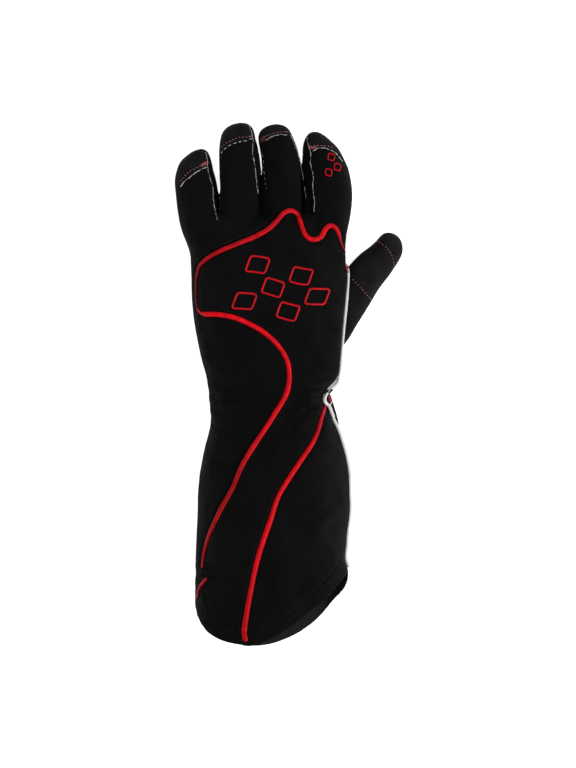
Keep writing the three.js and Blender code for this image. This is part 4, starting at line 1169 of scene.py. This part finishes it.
def frames(pts, nor):
    t = np.gradient(pts, axis=0)
    t /= np.linalg.norm(t, axis=1, keepdims=True) + 1e-12
    n = nor - (nor * t).sum(1)[:, None] * t
    n /= np.linalg.norm(n, axis=1, keepdims=True) + 1e-12
    return t, n, np.cross(t, n)


def tube(pts, nor, width, height, sides=14, ribs=0.0, pitch=0.75, lean=2.4, ends=2.0):
    """A closed tube along a line, with slanting ribs of thread over it."""
    t, n, b = frames(pts, nor)
    s = np.concatenate([[0], np.cumsum(np.linalg.norm(np.diff(pts, axis=0), axis=1))])
    width = np.broadcast_to(width, s.shape).astype(float)
    height = np.broadcast_to(height, s.shape).astype(float)
    e = np.clip(np.minimum(s, s[-1] - s) / ends, 0, 1)
    e = np.sqrt(np.clip(1 - (1 - e) ** 2, 0.02, 1))
    a = np.linspace(0, 2 * np.pi, sides, endpoint=False)
    ca, sa = np.cos(a), np.sin(a)
    wave = 1 + ribs * np.sin(2 * np.pi * (s[:, None] / pitch) + lean * ca[None, :])
    across = ca[None, :] * (width * e)[:, None] * wave
    up = sa[None, :] * (height * e)[:, None] * wave
    rings = pts[:, None, :] + b[:, None, :] * across[..., None] + n[:, None, :] * up[..., None]
    return ring_mesh(rings)


def join(parts):
    v, t, off = [], [], 0
    for a, b in parts:
        v.append(a)
        t.append(b + off)
        off += len(a)
    return np.vstack(v), np.vstack(t)


def stitches(pts, nor, pitch, length, radius, sides=6, rings=6, jitter=0.12, sink=0.25, skew=0.0, seed=1):
    """A row of single stitches, each diving into the cloth at both ends."""
    g = np.random.default_rng(seed)
    s = np.concatenate([[0], np.cumsum(np.linalg.norm(np.diff(pts, axis=0), axis=1))])
    t, n, b = frames(pts, nor)
    made = []
    at = pitch * 0.5
    while at + length / 2 < s[-1]:
        mid = at + g.normal() * jitter * pitch * 0.5
        q = np.linspace(mid - length / 2, mid + length / 2, rings)
        u = np.linspace(-1, 1, rings)
        side = skew * u * length / 2 + g.normal() * jitter * 0.5
        c = np.column_stack([np.interp(q, s, pts[:, k]) for k in range(3)])
        nn = np.column_stack([np.interp(q, s, n[:, k]) for k in range(3)])
        bb = np.column_stack([np.interp(q, s, b[:, k]) for k in range(3)])
        rise = radius * 1.15 * (1 - np.abs(u) ** 2.6) - sink * np.abs(u) ** 4
        c = c + nn * rise[:, None] + bb * side[:, None]
        made.append(tube(c, nn, radius, radius, sides=sides, ends=radius * 1.2))
        at += pitch
    return join(made)


STEP = 0.30
LINE_ALL = np.vstack([knuckle_line, spline(WRIST_LINE)[1:]])


# How the line runs: share of its length, radius, shift to its left, and painted shade: a factor on its colour, darker
# where the line lies in shade.
# It is broad over the hand, thin along the outside, and tapers down the cuff.
RED_RUN = np.array([
    [0.00, 0.42, 0.0, 0.40], [0.02, 0.85, 0.1, 0.45], [0.035, 1.45, -0.2, 0.75], [0.05, 1.70, -0.2, 0.88], [0.07, 1.85, 0.2, 0.90],
    [0.09, 1.72, 0.0, 0.88], [0.12, 1.66, -0.3, 0.82], [0.15, 1.72, 0.3, 0.88], [0.18, 1.72, 0.6, 0.86], [0.20, 1.84, 0.7, 0.90],
    [0.23, 1.80, 0.7, 0.86], [0.26, 1.74, 0.7, 0.74], [0.29, 1.68, 0.6, 0.70], [0.31, 1.62, 0.6, 0.67], [0.33, 1.50, 0.5, 0.64],
    [0.35, 1.26, 0.4, 0.46], [0.37, 0.80, 0.2, 0.42], [0.40, 0.46, 0.3, 0.32], [0.42, 0.60, 0.3, 0.44], [0.43, 1.05, 0.2, 0.9],
    [0.44, 1.72, 0.2, 1.25], [0.46, 1.76, 0.1, 1.20], [0.50, 1.80, -0.2, 1.06], [0.54, 1.76, 0.1, 0.97], [0.58, 1.70, 0.0, 0.92],
    [0.62, 1.70, 0.2, 0.88], [0.66, 1.90, 0.4, 0.92], [0.70, 1.82, 0.1, 0.94], [0.74, 1.70, 0.4, 0.90], [0.77, 1.88, 0.7, 0.86],
    [0.79, 1.90, 0.7, 0.76], [0.81, 1.86, 0.5, 0.58], [0.84, 1.78, 0.7, 0.55], [0.88, 1.76, 0.5, 0.52], [0.91, 1.80, 0.8, 0.56],
    [0.94, 1.76, 0.6, 0.66], [0.97, 1.28, 0.4, 0.64], [1.00, 0.80, 0.2, 0.60],
])
# Same columns for the cuff line; its last column is painted shade as well.
CUFF_RUN = np.array([
    [0.00, 1.20, -1.0, 0.36], [0.02, 1.66, -0.8, 0.56], [0.05, 1.40, -0.4, 0.56], [0.10, 1.42, 0.3, 0.62], [0.15, 1.60, 0.6, 0.76],
    [0.20, 1.66, 0.3, 0.84], [0.25, 1.80, 0.4, 0.86], [0.35, 1.72, 0.1, 0.92], [0.46, 1.72, 0.0, 0.88], [0.51, 1.88, 0.3, 0.90],
    [0.61, 1.90, 0.2, 0.90], [0.71, 1.88, 0.0, 0.86], [0.76, 1.80, 0.0, 0.84], [0.81, 1.84, 0.1, 0.76], [0.86, 1.88, 0.4, 0.76],
    [0.91, 1.96, 0.6, 0.74], [0.96, 2.12, 0.4, 0.70], [1.00, 1.80, 0.2, 0.70],
])


def red_cord(name, node, line, run):
    q = resample(np.asarray(line, float)[:, :2], 0.5)
    f = np.linspace(0, 1, len(q))
    t = np.gradient(q, axis=0)
    t /= np.linalg.norm(t, axis=1, keepdims=True)
    q = q + np.column_stack([-t[:, 1], t[:, 0]]) * smooth_line(np.interp(f, run[:, 0], run[:, 2]), 30)[:, None]
    pts, nor = lay(q, STEP, 0.45, smooth=8)
    f = np.linspace(0, 1, len(pts))
    w = smooth_line(np.interp(f, run[:, 0], run[:, 1]), 12)
    made = tube(pts, nor, w, w * 0.8, sides=16, ribs=0.085, pitch=0.95)
    obj = to_mesh(name, *made)
    _, at, _ = nearest(pts, made[0])
    total = np.linalg.norm(np.diff(pts[:, :2], axis=0), axis=1).sum()
    # Painted shade along the line: a per-point factor on the thread's colour, taken from the run table.
    painted_shade = obj.data.attributes.new("painted_shade", "FLOAT", "POINT")
    painted_shade.data.foreach_set("value", np.interp(at / total, run[:, 0], run[:, 3]).astype(np.float32))
    dress(obj, "red_piping", "red_piping", node)


red_cord("knuckle_piping_thread", "knuckle_piping", LINE_ALL, RED_RUN)

pts, nor = lay(spline(HEEL_LINE), STEP, 0.45, smooth=5)
w = np.interp(np.linspace(0, 1, len(pts)), [0, 0.4, 1.0], [0.7, 1.25, 0.9])
obj = to_mesh("heel_piping_thread", *tube(pts, nor, w, w * 0.8, sides=16, ribs=0.085, pitch=0.95))
# The heel piping's colour is darkened all along by a painted shade factor of 0.6.
painted_shade = obj.data.attributes.new("painted_shade", "FLOAT", "POINT")
painted_shade.data.foreach_set("value", np.full(len(obj.data.vertices), 0.6, np.float32))
dress(obj, "red_piping", "red_piping", "heel_piping")

# Between and past the two red ends the seam is closed by a flat fold of the cloth.
pts, nor = lay(spline([[-60.0, -126.5], [-60.3, -129.5], [-61.2, -137.0], [-62.3, -144.6], [-63.0, -149.6]]), STEP, -0.1, smooth=4)
obj = to_mesh("heel_seam_fold", *tube(pts, nor, 1.9, 0.6, sides=14, ends=1.0))
dress(obj, "black_cloth", "black_cloth")

red_cord("cuff_piping_thread", "cuff_piping", spline(CUFF_LINE[:-1] + [[-29.0, -180.4]]), CUFF_RUN)


def side_line(ys, lift=0.0, rise=0.0):
    """Places down the thumb-side seam."""
    pts, nor = [], []
    for y in ys:
        z = float(np.interp(y, BODY[:, 0], BODY[:, 5])) + rise
        p, n = hit_at((120.0, y, z), (-1, 0, 0))
        pts.append(p)
        nor.append(n)
    pts, nor = smooth_line(np.array(pts), 4), np.array(nor)
    for _ in range(8):
        nor[1:-1] = nor[1:-1] * 0.5 + (nor[:-2] + nor[2:]) * 0.25
    nor /= np.linalg.norm(nor, axis=1, keepdims=True)
    return pts + nor * lift, nor


def edge_height(y):
    return float(np.interp(y, BODY[:, 0], BODY[:, 5]))


def side_curve(rows, lift):
    pts, nor = [], []
    for y, z in spline(rows, STEP):
        p, n = hit_at((120.0, y, z), (-1, 0, 0))
        pts.append(p)
        nor.append(n)
    pts, nor = smooth_line(np.array(pts), 6), smooth_line(np.array(nor), 8)
    nor /= np.linalg.norm(nor, axis=1, keepdims=True)
    return pts + nor * lift, nor


def beside(line, lift, low=-7.0, high=10.0):
    """A line given in X and Y, laid on the thumb side of the surface where it reaches that X."""
    pts, nor = [], []
    before = None
    for x, y in spline(line, STEP):
        best = None
        for dz in np.linspace(low, high, 18):
            p, n = hit_at((120.0, y, edge_height(y) + dz), (-1, 0, 0))
            off = abs(p[0] + n[0] * lift - x) + 0.02 * abs(dz)
            if before is not None:
                off += 0.05 * abs(p[2] - before)
            if best is None or off < best[0]:
                best = (off, p, n)
        before = best[1][2]
        p = best[1] + best[2] * lift
        p[0] += np.clip(x - p[0], -0.6, 1.0)
        pts.append(p)
        nor.append(best[2])
    pts, nor = smooth_line(np.array(pts), 5), smooth_line(np.array(nor), 8)
    nor /= np.linalg.norm(nor, axis=1, keepdims=True)
    return pts, nor


# The white piping: a cord in a folded strip, caught under the black seam.
WRIST_LOOP = [[35.6, 5.0], [35.1, 2.6], [32.9, -0.4], [30.0, -2.8], [28.0, -4.0], [26.8, -6.4], [25.7, -9.5],
              [25.6, -12.0], [26.9, -14.3], [29.0, -16.4], [30.4, -20.4], [32.2, -24.6]]
hand_pts, hand_nor = side_line(np.arange(81.6, 4.2, -STEP), 1.05)
s_hand = np.linspace(0, 1, len(hand_pts))
w = np.interp(s_hand, [0, 0.04, 0.10, 0.16, 0.25, 0.4, 0.55, 0.75, 0.93, 1.0], [0.7, 1.15, 0.85, 0.95, 1.15, 1.2, 1.05, 1.0, 0.95, 0.9])
obj = to_mesh("side_piping_hand_cord", *tube(hand_pts, hand_nor, w, w, sides=14, ribs=0.025, pitch=1.6))
dress(obj, "white_piping", "white_piping", "side_piping_hand")
cuff_ys = np.arange(-23.6, -129.0, -STEP)
cuff_pts, cuff_nor = side_line(cuff_ys)
cuff_pts = cuff_pts + cuff_nor * np.interp(-cuff_ys, [23, 40, 62, 78, 100, 112, 129], [1.05, 0.7, 0.85, 0.25, 0.25, 1.1, 1.15])[:, None]
obj = to_mesh("side_piping_cuff_cord", *tube(cuff_pts, cuff_nor, 1.25, 1.25, sides=14, ribs=0.025, pitch=1.6))
dress(obj, "white_piping", "white_piping", "side_piping_cuff")
loop_pts, loop_nor = beside(WRIST_LOOP, 1.35, low=-2.0)
obj = to_mesh("wrist_loop_cord", *tube(loop_pts, loop_nor, 1.3, 1.3, sides=14, ribs=0.025, pitch=1.6))
dress(obj, "white_piping", "white_piping", "wrist_loop")
# A thin grey line along the strip's outer side: painted shade that stands for the grey shading at the white cord's
# edge.
for name, pts, nor in (("hand", hand_pts, hand_nor), ("cuff", cuff_pts, cuff_nor)):
    line = pts + np.array([0.75, 0, -0.75])
    obj = to_mesh("side_piping_shade_line_" + name, *tube(line, nor, 0.30, 0.30, sides=6))
    dress(obj, "painted_shade_edge", "white_piping")

# The palm side bulges past the hook, and carries the end of the red thread.
UP = np.array([0.0, 0.0, 1.0])


def loose(points, step=STEP):
    p = np.asarray(points, float)
    q = spline(p[:, :2], 0.2)
    s0 = np.concatenate([[0], np.cumsum(np.linalg.norm(np.diff(p[:, :2], axis=0), axis=1))])
    s1 = np.linspace(0, s0[-1], len(q))
    q = resample(np.column_stack([q, np.interp(s1, s0, p[:, 2])]), step)
    return q, np.tile(UP, (len(q), 1))


pts, nor = loose([[25.5, -3.6, 16.0], [27.2, -7.0, 17.0], [28.5, -10.9, 17.6], [30.0, -16.5, 18.0], [31.8, -22.5, 18.6], [33.5, -28.5, 19.4], [34.6, -33.5, 20.0]])
w = np.interp(np.linspace(0, 1, len(pts)), [0, 0.2, 0.6, 0.85, 1], [1.4, 2.4, 2.5, 2.0, 1.0])
made = [tube(pts, nor, w, w * 1.5, sides=18, ends=4.0)]
pts, nor = loose([[25.0, -13.0, 19.0], [27.0, -16.6, 19.4], [28.8, -20.2, 19.8], [30.6, -24.4, 20.4]])
made.append(tube(pts, nor, 1.9, 2.6, sides=18, ends=4.0))
obj = to_mesh("wrist_fold", *join(made))
dress(obj, "black_cloth", "black_cloth")
FOLD_LINES = [
    [[30.9, -11.6, 17.8], [32.4, -16.0, 18.0], [34.3, -22.5, 18.6], [35.6, -28.0, 19.4]],
    [[29.4, -15.4, 22.2], [30.2, -13.4, 22.0], [31.2, -11.8, 20.6]],
    [[35.6, 3.4, 23.4], [34.0, 0.8, 23.6], [31.6, -1.6, 23.9], [29.4, -3.6, 24.2], [27.7, -5.6, 24.3], [26.7, -7.8, 24.0]],
    [[35.2, 5.2, 23.6], [33.4, 2.4, 23.9], [30.9, 0.0, 24.2], [28.6, -1.8, 24.5], [27.0, -4.0, 24.6], [26.2, -6.4, 24.2]],
]
parts = []
for k, line in enumerate(FOLD_LINES):
    pts, nor = loose(line)
    parts.append(tube(pts, nor, (0.38, 0.38, 1.15, 0.85)[k], (0.38, 0.38, 1.1, 0.9)[k], sides=8, ribs=0.05, pitch=1.1))
obj = to_mesh("wrist_fold_edges", *join(parts))
dress(obj, "white_piping", "white_piping")
parts = []
for x, y, z, turn in ((27.8, -4.7, 26.4, 0.9), (28.6, -5.7, 26.0, -0.4), (29.9, -5.4, 25.2, 0.95), (30.4, -4.2, 24.8, -0.3), (27.2, -5.6, 26.6, 0.2)):
    d = np.array([math.cos(turn), math.sin(turn), 0.0]) * 1.3
    pts, nor = loose([np.array([x, y, z]) - d, np.array([x, y, z + 0.6]), np.array([x, y, z]) + d])
    parts.append(tube(pts, nor, 0.55, 0.5, sides=8, ends=0.6))
obj = to_mesh("wrist_loop_ties", *join(parts))
dress(obj, "black_stitch", "black_cloth")
pts, nor = loose([[28.5, -7.8, 22.4], [28.7, -8.8, 22.4], [29.1, -10.6, 22.2], [29.4, -12.6, 21.4]])
w = np.interp(np.linspace(0, 1, len(pts)), [0, 0.6, 1], [0.6, 1.5, 1.0])
obj = to_mesh("wrist_piping_end_thread", *tube(pts, nor, w, w, sides=14, ribs=0.07, pitch=0.95, ends=1.0))
dress(obj, "red_stitch", "red_piping", "wrist_piping_end")


def trim(name, mesh, material, slot):
    return dress(to_mesh(name, *mesh), material, slot)


# The thread that ties the thumb's leather over the piping: ragged black wraps.
g = np.random.default_rng(7)
wraps = []
t_h, n_h, b_h = frames(hand_pts, hand_nor)
s_at = np.concatenate([[0], np.cumsum(np.linalg.norm(np.diff(hand_pts, axis=0), axis=1))])
at = 6.0
while at < 54.0:
    i = int(np.searchsorted(s_at, at))
    spread = np.linspace(0.15, 1.15, 7)
    lean = g.uniform(-0.6, 0.6)
    c = hand_pts[i] + n_h[i] * (1.32 * np.cos(spread))[:, None] - np.array([0, 0, 1.0]) * (1.32 * np.sin(spread))[:, None] * 0.2
    c = c - t_h[i] * (lean * np.linspace(0, 1, 7))[:, None]
    c[:, 2] -= np.linspace(0.0, 1.5, 7)
    r = g.uniform(0.30, 0.62)
    wraps.append(tube(c, np.tile(n_h[i], (7, 1)), r, r * 0.8, sides=6, ends=0.3))
    at += g.uniform(1.1, 2.6)
trim("thumb_side_wraps", join(wraps), "black_stitch", "black_cloth")


def ragged(line, weight, seed, step=0.25):
    """A raw cut edge standing up in a seam: uneven, nearly unbroken light fibre."""
    g = np.random.default_rng(seed)
    pts, nor = lay(spline(line, step), step, 0.1, smooth=4)
    s = np.concatenate([[0], np.cumsum(np.linalg.norm(np.diff(pts, axis=0), axis=1))])
    t, n, b = frames(pts, nor)
    swell = sum(np.sin(2 * np.pi * s / g.uniform(1.5, 11.0) + g.uniform(0, 6.28)) for _ in range(6)) / 6 ** 0.5
    wander = sum(np.sin(2 * np.pi * s / g.uniform(3.0, 9.0) + g.uniform(0, 6.28)) for _ in range(4)) / 2
    radius = np.clip(0.25 + 0.10 * swell, 0.10, 0.48) * (0.55 + 0.45 * weight)
    made, at = [], g.uniform(0, 1)
    while at < s[-1] - 1.5:
        length, skip = (g.uniform(5, 15), g.uniform(0.1, 0.5)) if weight > 0.5 else (g.uniform(0.8, 2.6), g.uniform(0.7, 2.4))
        i, j = np.searchsorted(s, [at, min(at + length, s[-1])])
        at += length + skip
        if j - i < 4:
            continue
        c = pts[i:j] + b[i:j] * (0.13 * wander[i:j] + g.normal() * 0.05)[:, None] + n[i:j] * 0.10
        made.append(tube(c, nor[i:j], radius[i:j], radius[i:j] * 1.2, sides=6, ends=0.8))
    return join(made)


RAW_EDGES = [
    ("little_right", [[-57.9, 162.9], [-57.1, 159.5], [-56.7, 156.7], [-56.4, 151.6], [-54.9, 144.5], [-52.7, 137.3], [-52.5, 130.2], [-51.3, 122.1], [-49.3, 114.5]], 0.95),
    ("ring_left", [[-47.6, 131.6], [-47.4, 126.8], [-47.8, 121.5]], 0.1),
    ("ring_right", [[-27.6, 181.5], [-26.2, 177.6], [-25.1, 174.1], [-24.6, 171.1], [-25.0, 162.5], [-23.3, 152.9], [-22.3, 142.8], [-21.1, 132.7]], 1.1),
    ("middle_left", [[-18.2, 163.0], [-17.4, 158.5], [-16.8, 149.8], [-16.2, 143.3], [-15.0, 135.7]], 0.3),
    ("middle_right", [[1.0, 175.4], [3.2, 171.0], [5.0, 166.5], [8.0, 156.9], [10.5, 144.8], [11.3, 140.7]], 0.9),
    ("middle_right_low", [[11.6, 139.0], [12.3, 134.0], [12.9, 129.8]], 0.6),
    ("index_left", [[13.1, 174.2], [13.8, 170.0], [14.6, 166.0], [15.9, 162.5], [16.0, 153.4], [17.8, 145.8], [17.4, 138.3], [18.6, 126.6], [18.1, 120.1]], 1.0),
]
for k, (name, line, weight) in enumerate(RAW_EDGES):
    trim("raw_edge_" + name, ragged(line, weight, 50 + k), "raw_edge", "black_cloth")


def row(name, line, material, slot, pitch, length, radius, seed, lift=0.0, skew=0.0, jitter=0.12):
    pts, nor = lay(spline(line, 0.4), 0.4, lift, smooth=3)
    return trim(name, stitches(pts, nor, pitch, length, radius, jitter=jitter, skew=skew, seed=seed), material, slot)


CAP_ROWS = {
    "little": [[-75.4, 141.2], [-74.6, 142.5], [-69.0, 148.7], [-62.7, 151.9], [-57.8, 154.9]],
    "ring": [[-46.6, 165.0], [-44.6, 167.6], [-40.2, 170.0], [-36.9, 171.7], [-33.5, 172.6], [-29.6, 172.8], [-26.4, 173.1]],
    "middle": [[-17.6, 172.5], [-14.7, 173.7], [-9.6, 175.5], [-4.6, 176.4], [1.0, 176.1]],
    "index": [[15.2, 166.2], [19.2, 166.8], [24.0, 166.7], [28.6, 166.2], [31.9, 164.6]],
}
for k, (name, line) in enumerate(CAP_ROWS.items()):
    row("cap_stitching_" + name, line, "red_stitch", "black_suede", 2.45, 1.7, 0.24, 80 + k, 0.08)
    row("cap_thread_" + name, line, "pale_stitch", "black_suede", 2.45, 0.9, 0.24, 180 + k, 0.34, jitter=0.08)
CAP_EDGES = {
    "little": [[-75.6, 137.2], [-73.2, 140.8], [-68.3, 145.1], [-62.7, 149.2], [-58.4, 151.3], [-56.4, 151.5]],
    "ring_end": [[-27.6, 171.0], [-25.8, 171.8], [-24.4, 171.5]],
    "middle": [[-15.9, 170.2], [-13.0, 172.2], [-9.4, 173.9], [-5.9, 174.7], [-0.6, 174.2]],
    "index": [[16.6, 162.7], [19.0, 163.9], [21.4, 165.1], [25.2, 165.1], [28.0, 164.4], [30.9, 163.2], [33.9, 160.9], [38.2, 155.4]],
}
row("cap_edge_ring", [[-47.2, 160.7], [-44.0, 164.6], [-41.4, 166.6], [-37.0, 168.6], [-33.0, 169.7], [-28.8, 170.2]], "grey_stitch", "black_suede", 3.9, 2.5, 0.27, 90, 0.12, jitter=0.05)
for k, (name, line) in enumerate(CAP_EDGES.items()):
    trim("cap_edge_" + name, ragged(line, 0.95, 191 + k), "grey_stitch", "black_suede")


def bar_tack(name, x, y, along, count=7, width=2.6, pitch=0.5, radius=0.26, material="pink_tack"):
    """A short block of threads side by side."""
    a = math.radians(along)
    t, across = np.array([math.cos(a), math.sin(a)]), np.array([-math.sin(a), math.cos(a)])
    g = np.random.default_rng(int(abs(x * 10)) + 3)
    made = []
    for i in range(count):
        c = np.array([x, y]) + t * (i - (count - 1) / 2) * pitch
        e = width / 2 * g.uniform(0.8, 1.1)
        line = [c - across * e, c, c + across * e]
        pts, nor = lay(spline([[*q] for q in line], 0.3), 0.3, 0.12, smooth=2)
        made.append(tube(pts, nor, radius, radius, sides=6, ends=0.5))
    return trim(name, join(made), material, "red_piping")


bar_tack("bar_tack_little", -58.3, 154.2, 28, count=11, width=2.4)
bar_tack("bar_tack_ring", -26.3, 173.3, 8, count=4, width=1.6)
bar_tack("bar_tack_middle", -17.4, 171.4, 20, count=8, width=3.4, material="dull_tack")
bar_tack("bar_tack_index", 17.2, 165.6, 0, count=10, width=2.2)

THUMB_ROWS = {
    "tip": [[62.6, 100.2], [66.6, 97.4], [70.6, 93.4], [73.3, 88.0], [73.9, 81.2]],
    "middle": [[44.6, 73.6], [49.4, 68.8], [54.4, 63.2], [58.4, 58.8]],
}
for k, (name, line) in enumerate(THUMB_ROWS.items()):
    row("thumb_stitching_" + name, line, "red_stitch", "black_suede", 2.5, 1.7, 0.26, 110 + k, 0.1, jitter=0.08)
    row("thumb_thread_" + name, line, "pale_stitch", "black_suede", 2.5, 1.0, 0.25, 210 + k, 0.34, jitter=0.08)

# The red knot where the knuckle line meets the thumb.
knot = []
g = np.random.default_rng(19)
for k in range(9):
    y = 82.6 - 0.55 * k
    pts, nor = side_curve([[y + 1.0, 29.5 + g.uniform(-0.4, 0.4)], [y, 27.0], [y - 1.0, 24.0 + g.uniform(-0.6, 0.6)]], 0.9 + 0.35 * math.sin(k))
    knot.append(tube(pts, nor, 0.42, 0.42, sides=8, ends=0.6))
trim("thumb_crotch_knot", join(knot), "red_stitch", "red_piping")

# Black top stitching beside the seams and along the hems.
def offset(line, by):
    q = spline(line, 1.0)
    t = np.gradient(q, axis=0)
    t /= np.linalg.norm(t, axis=1, keepdims=True)
    return q + np.column_stack([-t[:, 1], t[:, 0]]) * by


def black_row(name, line, seed):
    q = resample(smooth_line(np.array(line), 6), 0.5)
    pts, nor = lay(q, 0.5, 0.02, smooth=3)
    return trim(name, stitches(pts, nor, 2.6, 1.9, 0.20, jitter=0.06, seed=seed), "black_stitch", "black_cloth")


black_row("hem_stitching_back", offset(HEM_BACK[1:-1], 8.5), 131)
black_row("cuff_seam_stitching", offset(CUFF_LINE, -3.4), 132)
black_row("wrist_seam_stitching", offset(WRIST_LINE[1:-1], 3.4), 133)
black_row("knuckle_seam_stitching", offset(KNUCKLE_LINE[14:-2], -3.4), 134)

# ------------------------------------------------------------------ the motif
# Outlined cells of a slanting chequered block, every other cell left out.
def cell(corners, round_by):
    """Closed outline with rounded corners."""
    c = np.asarray(corners, float)
    out = []
    for i in range(4):
        p, q, r = c[i - 1], c[i], c[(i + 1) % 4]
        a = q + (p - q) / np.linalg.norm(p - q) * round_by
        b = q + (r - q) / np.linalg.norm(r - q) * round_by
        for t in np.linspace(0, 1, 7):
            out.append((1 - t) ** 2 * a + 2 * t * (1 - t) * q + t ** 2 * b)
    out.append(out[0])
    return np.array(out)


def loop_tube(line, step, width, height, lift):
    q = resample(line, step)[:-1]
    pts, nor = [], []
    for x, y in q:
        p, n = above(x, y)
        pts.append(p)
        nor.append(n)
    pts, nor = np.array(pts), np.array(nor)
    for _ in range(3):
        pts = pts * 0.5 + (np.roll(pts, 1, 0) + np.roll(pts, -1, 0)) * 0.25
        nor = nor * 0.5 + (np.roll(nor, 1, 0) + np.roll(nor, -1, 0)) * 0.25
    nor /= np.linalg.norm(nor, axis=1, keepdims=True)
    pts = pts + nor * lift
    t = np.roll(pts, -1, 0) - np.roll(pts, 1, 0)
    t /= np.linalg.norm(t, axis=1, keepdims=True)
    n = nor - (nor * t).sum(1)[:, None] * t
    n /= np.linalg.norm(n, axis=1, keepdims=True)
    b = np.cross(t, n)
    m, sides = len(pts), 12
    a = np.linspace(0, 2 * np.pi, sides, endpoint=False)
    turns = np.round(m * step / 0.8)
    wave = 1 + 0.06 * np.sin(2 * np.pi * turns * np.arange(m)[:, None] / m + 2.0 * np.cos(a)[None, :])
    rings = pts[:, None] + b[:, None] * (np.cos(a) * width * wave)[..., None] + n[:, None] * (np.sin(a) * height * wave)[..., None]
    i, j = np.meshgrid(np.arange(m), np.arange(sides), indexing="ij")
    p, q = (i * sides + j).ravel(), (i * sides + (j + 1) % sides).ravel()
    r, s = (((i + 1) % m) * sides + j).ravel(), (((i + 1) % m) * sides + (j + 1) % sides).ravel()
    v = rings.reshape(-1, 3)
    t = np.vstack([np.column_stack([p, q, s]), np.column_stack([p, s, r])])
    vol = np.einsum("ij,ij->i", v[t[:, 0]], np.cross(v[t[:, 1]], v[t[:, 2]])).sum()
    return v, (t if vol > 0 else t[:, ::-1])


def checks(origin, right, up, columns, rows, gap, round_by, wave, step, width, height, lift):
    o, r, u = (np.asarray(q, float) for q in (origin, right, up))
    unit_r, unit_u = r / np.linalg.norm(r), u / np.linalg.norm(u)
    made = []
    for i in range(columns):
        for j in range(rows):
            if (i + j) % 2:
                continue
            cs = [o + r * (i + a) + u * (j + b) + unit_r * gap * (1 - 2 * a) + unit_u * gap * (1 - 2 * b)
                  for a, b in ((0, 0), (1, 0), (1, 1), (0, 1))]
            line = cell(cs, round_by)
            line = resample(line, 0.6)
            f = (line - o) @ unit_r / np.linalg.norm(r) / columns
            line = line + unit_u * (wave * np.sin(2 * np.pi * f))[:, None]
            made.append(loop_tube(line, step, width, height, lift))
    return join(made)


trim("hand_back_motif", checks((-41.0, 52.0), (15.6, -2.6), (4.6, 12.6), 4, 3, 1.1, 2.0, 1.6, STEP, 0.68, 0.50, 0.22), "red_line", "red_piping")
trim("index_motif", checks((25.4, 146.2), (5.2, -1.6), (0.9, 5.4), 2, 3, 0.5, 0.9, 0.0, 0.25, 0.42, 0.34, 0.15), "red_line", "red_piping")

# ------------------------------------------------------------------ camera, floor, light
scene = bpy.context.scene
cam_data = bpy.data.cameras.new("camera")
cam_data.sensor_fit = "VERTICAL"
cam_data.sensor_height = 36.0
CAMERA_HEIGHT = 2.6
cam_data.lens = 36.0 * (CAMERA_HEIGHT - 0.024) / 0.5376
cam_data.clip_end = 50.0
cam = bpy.data.objects.new("camera", cam_data)
cam.location = (-MIDDLE[0] * 0.001, -MIDDLE[1] * 0.001, CAMERA_HEIGHT)
cam.rotation_euler = (0, 0, 0)
scene.collection.objects.link(cam)
scene.camera = cam

floor_v = np.array([[-4000, -4000, -0.3], [4000, -4000, -0.3], [4000, 4000, -0.3], [-4000, 4000, -0.3]]) + MIDDLE
floor = to_mesh("floor", floor_v, np.array([[0, 1, 2, 3]]), smooth=False)
fm, fnt, fb = nodes_of("pale_floor")
fb.inputs["Base Color"].default_value = (0.80, 0.80, 0.80, 1)
fb.inputs["Roughness"].default_value = 0.9
fb.inputs["Specular IOR Level"].default_value = 0.1
fb.inputs["Emission Color"].default_value = (1, 1, 1, 1)
fb.inputs["Emission Strength"].default_value = 0.86
floor.data.materials.append(fm)

world = bpy.data.worlds.new("studio")
world.use_nodes = True
world.node_tree.nodes["Background"].inputs[0].default_value = (1, 1, 1, 1)
world.node_tree.nodes["Background"].inputs[1].default_value = 0.55
scene.world = world
scene.view_settings.view_transform = "Standard"


def area(name, where, target, size, power):
    d = bpy.data.lights.new(name, "AREA")
    d.shape = "DISK"
    d.size = size
    d.energy = power
    o = bpy.data.objects.new(name, d)
    o.location = where
    o.rotation_euler = (Vector(target) - Vector(where)).to_track_quat("-Z", "Y").to_euler()
    scene.collection.objects.link(o)


area("key", (1.4, -0.5, 1.15), (0, 0, 0), 0.5, 30)
area("fill", (-0.7, 0.9, 1.8), (0, 0, 0), 0.9, 5)
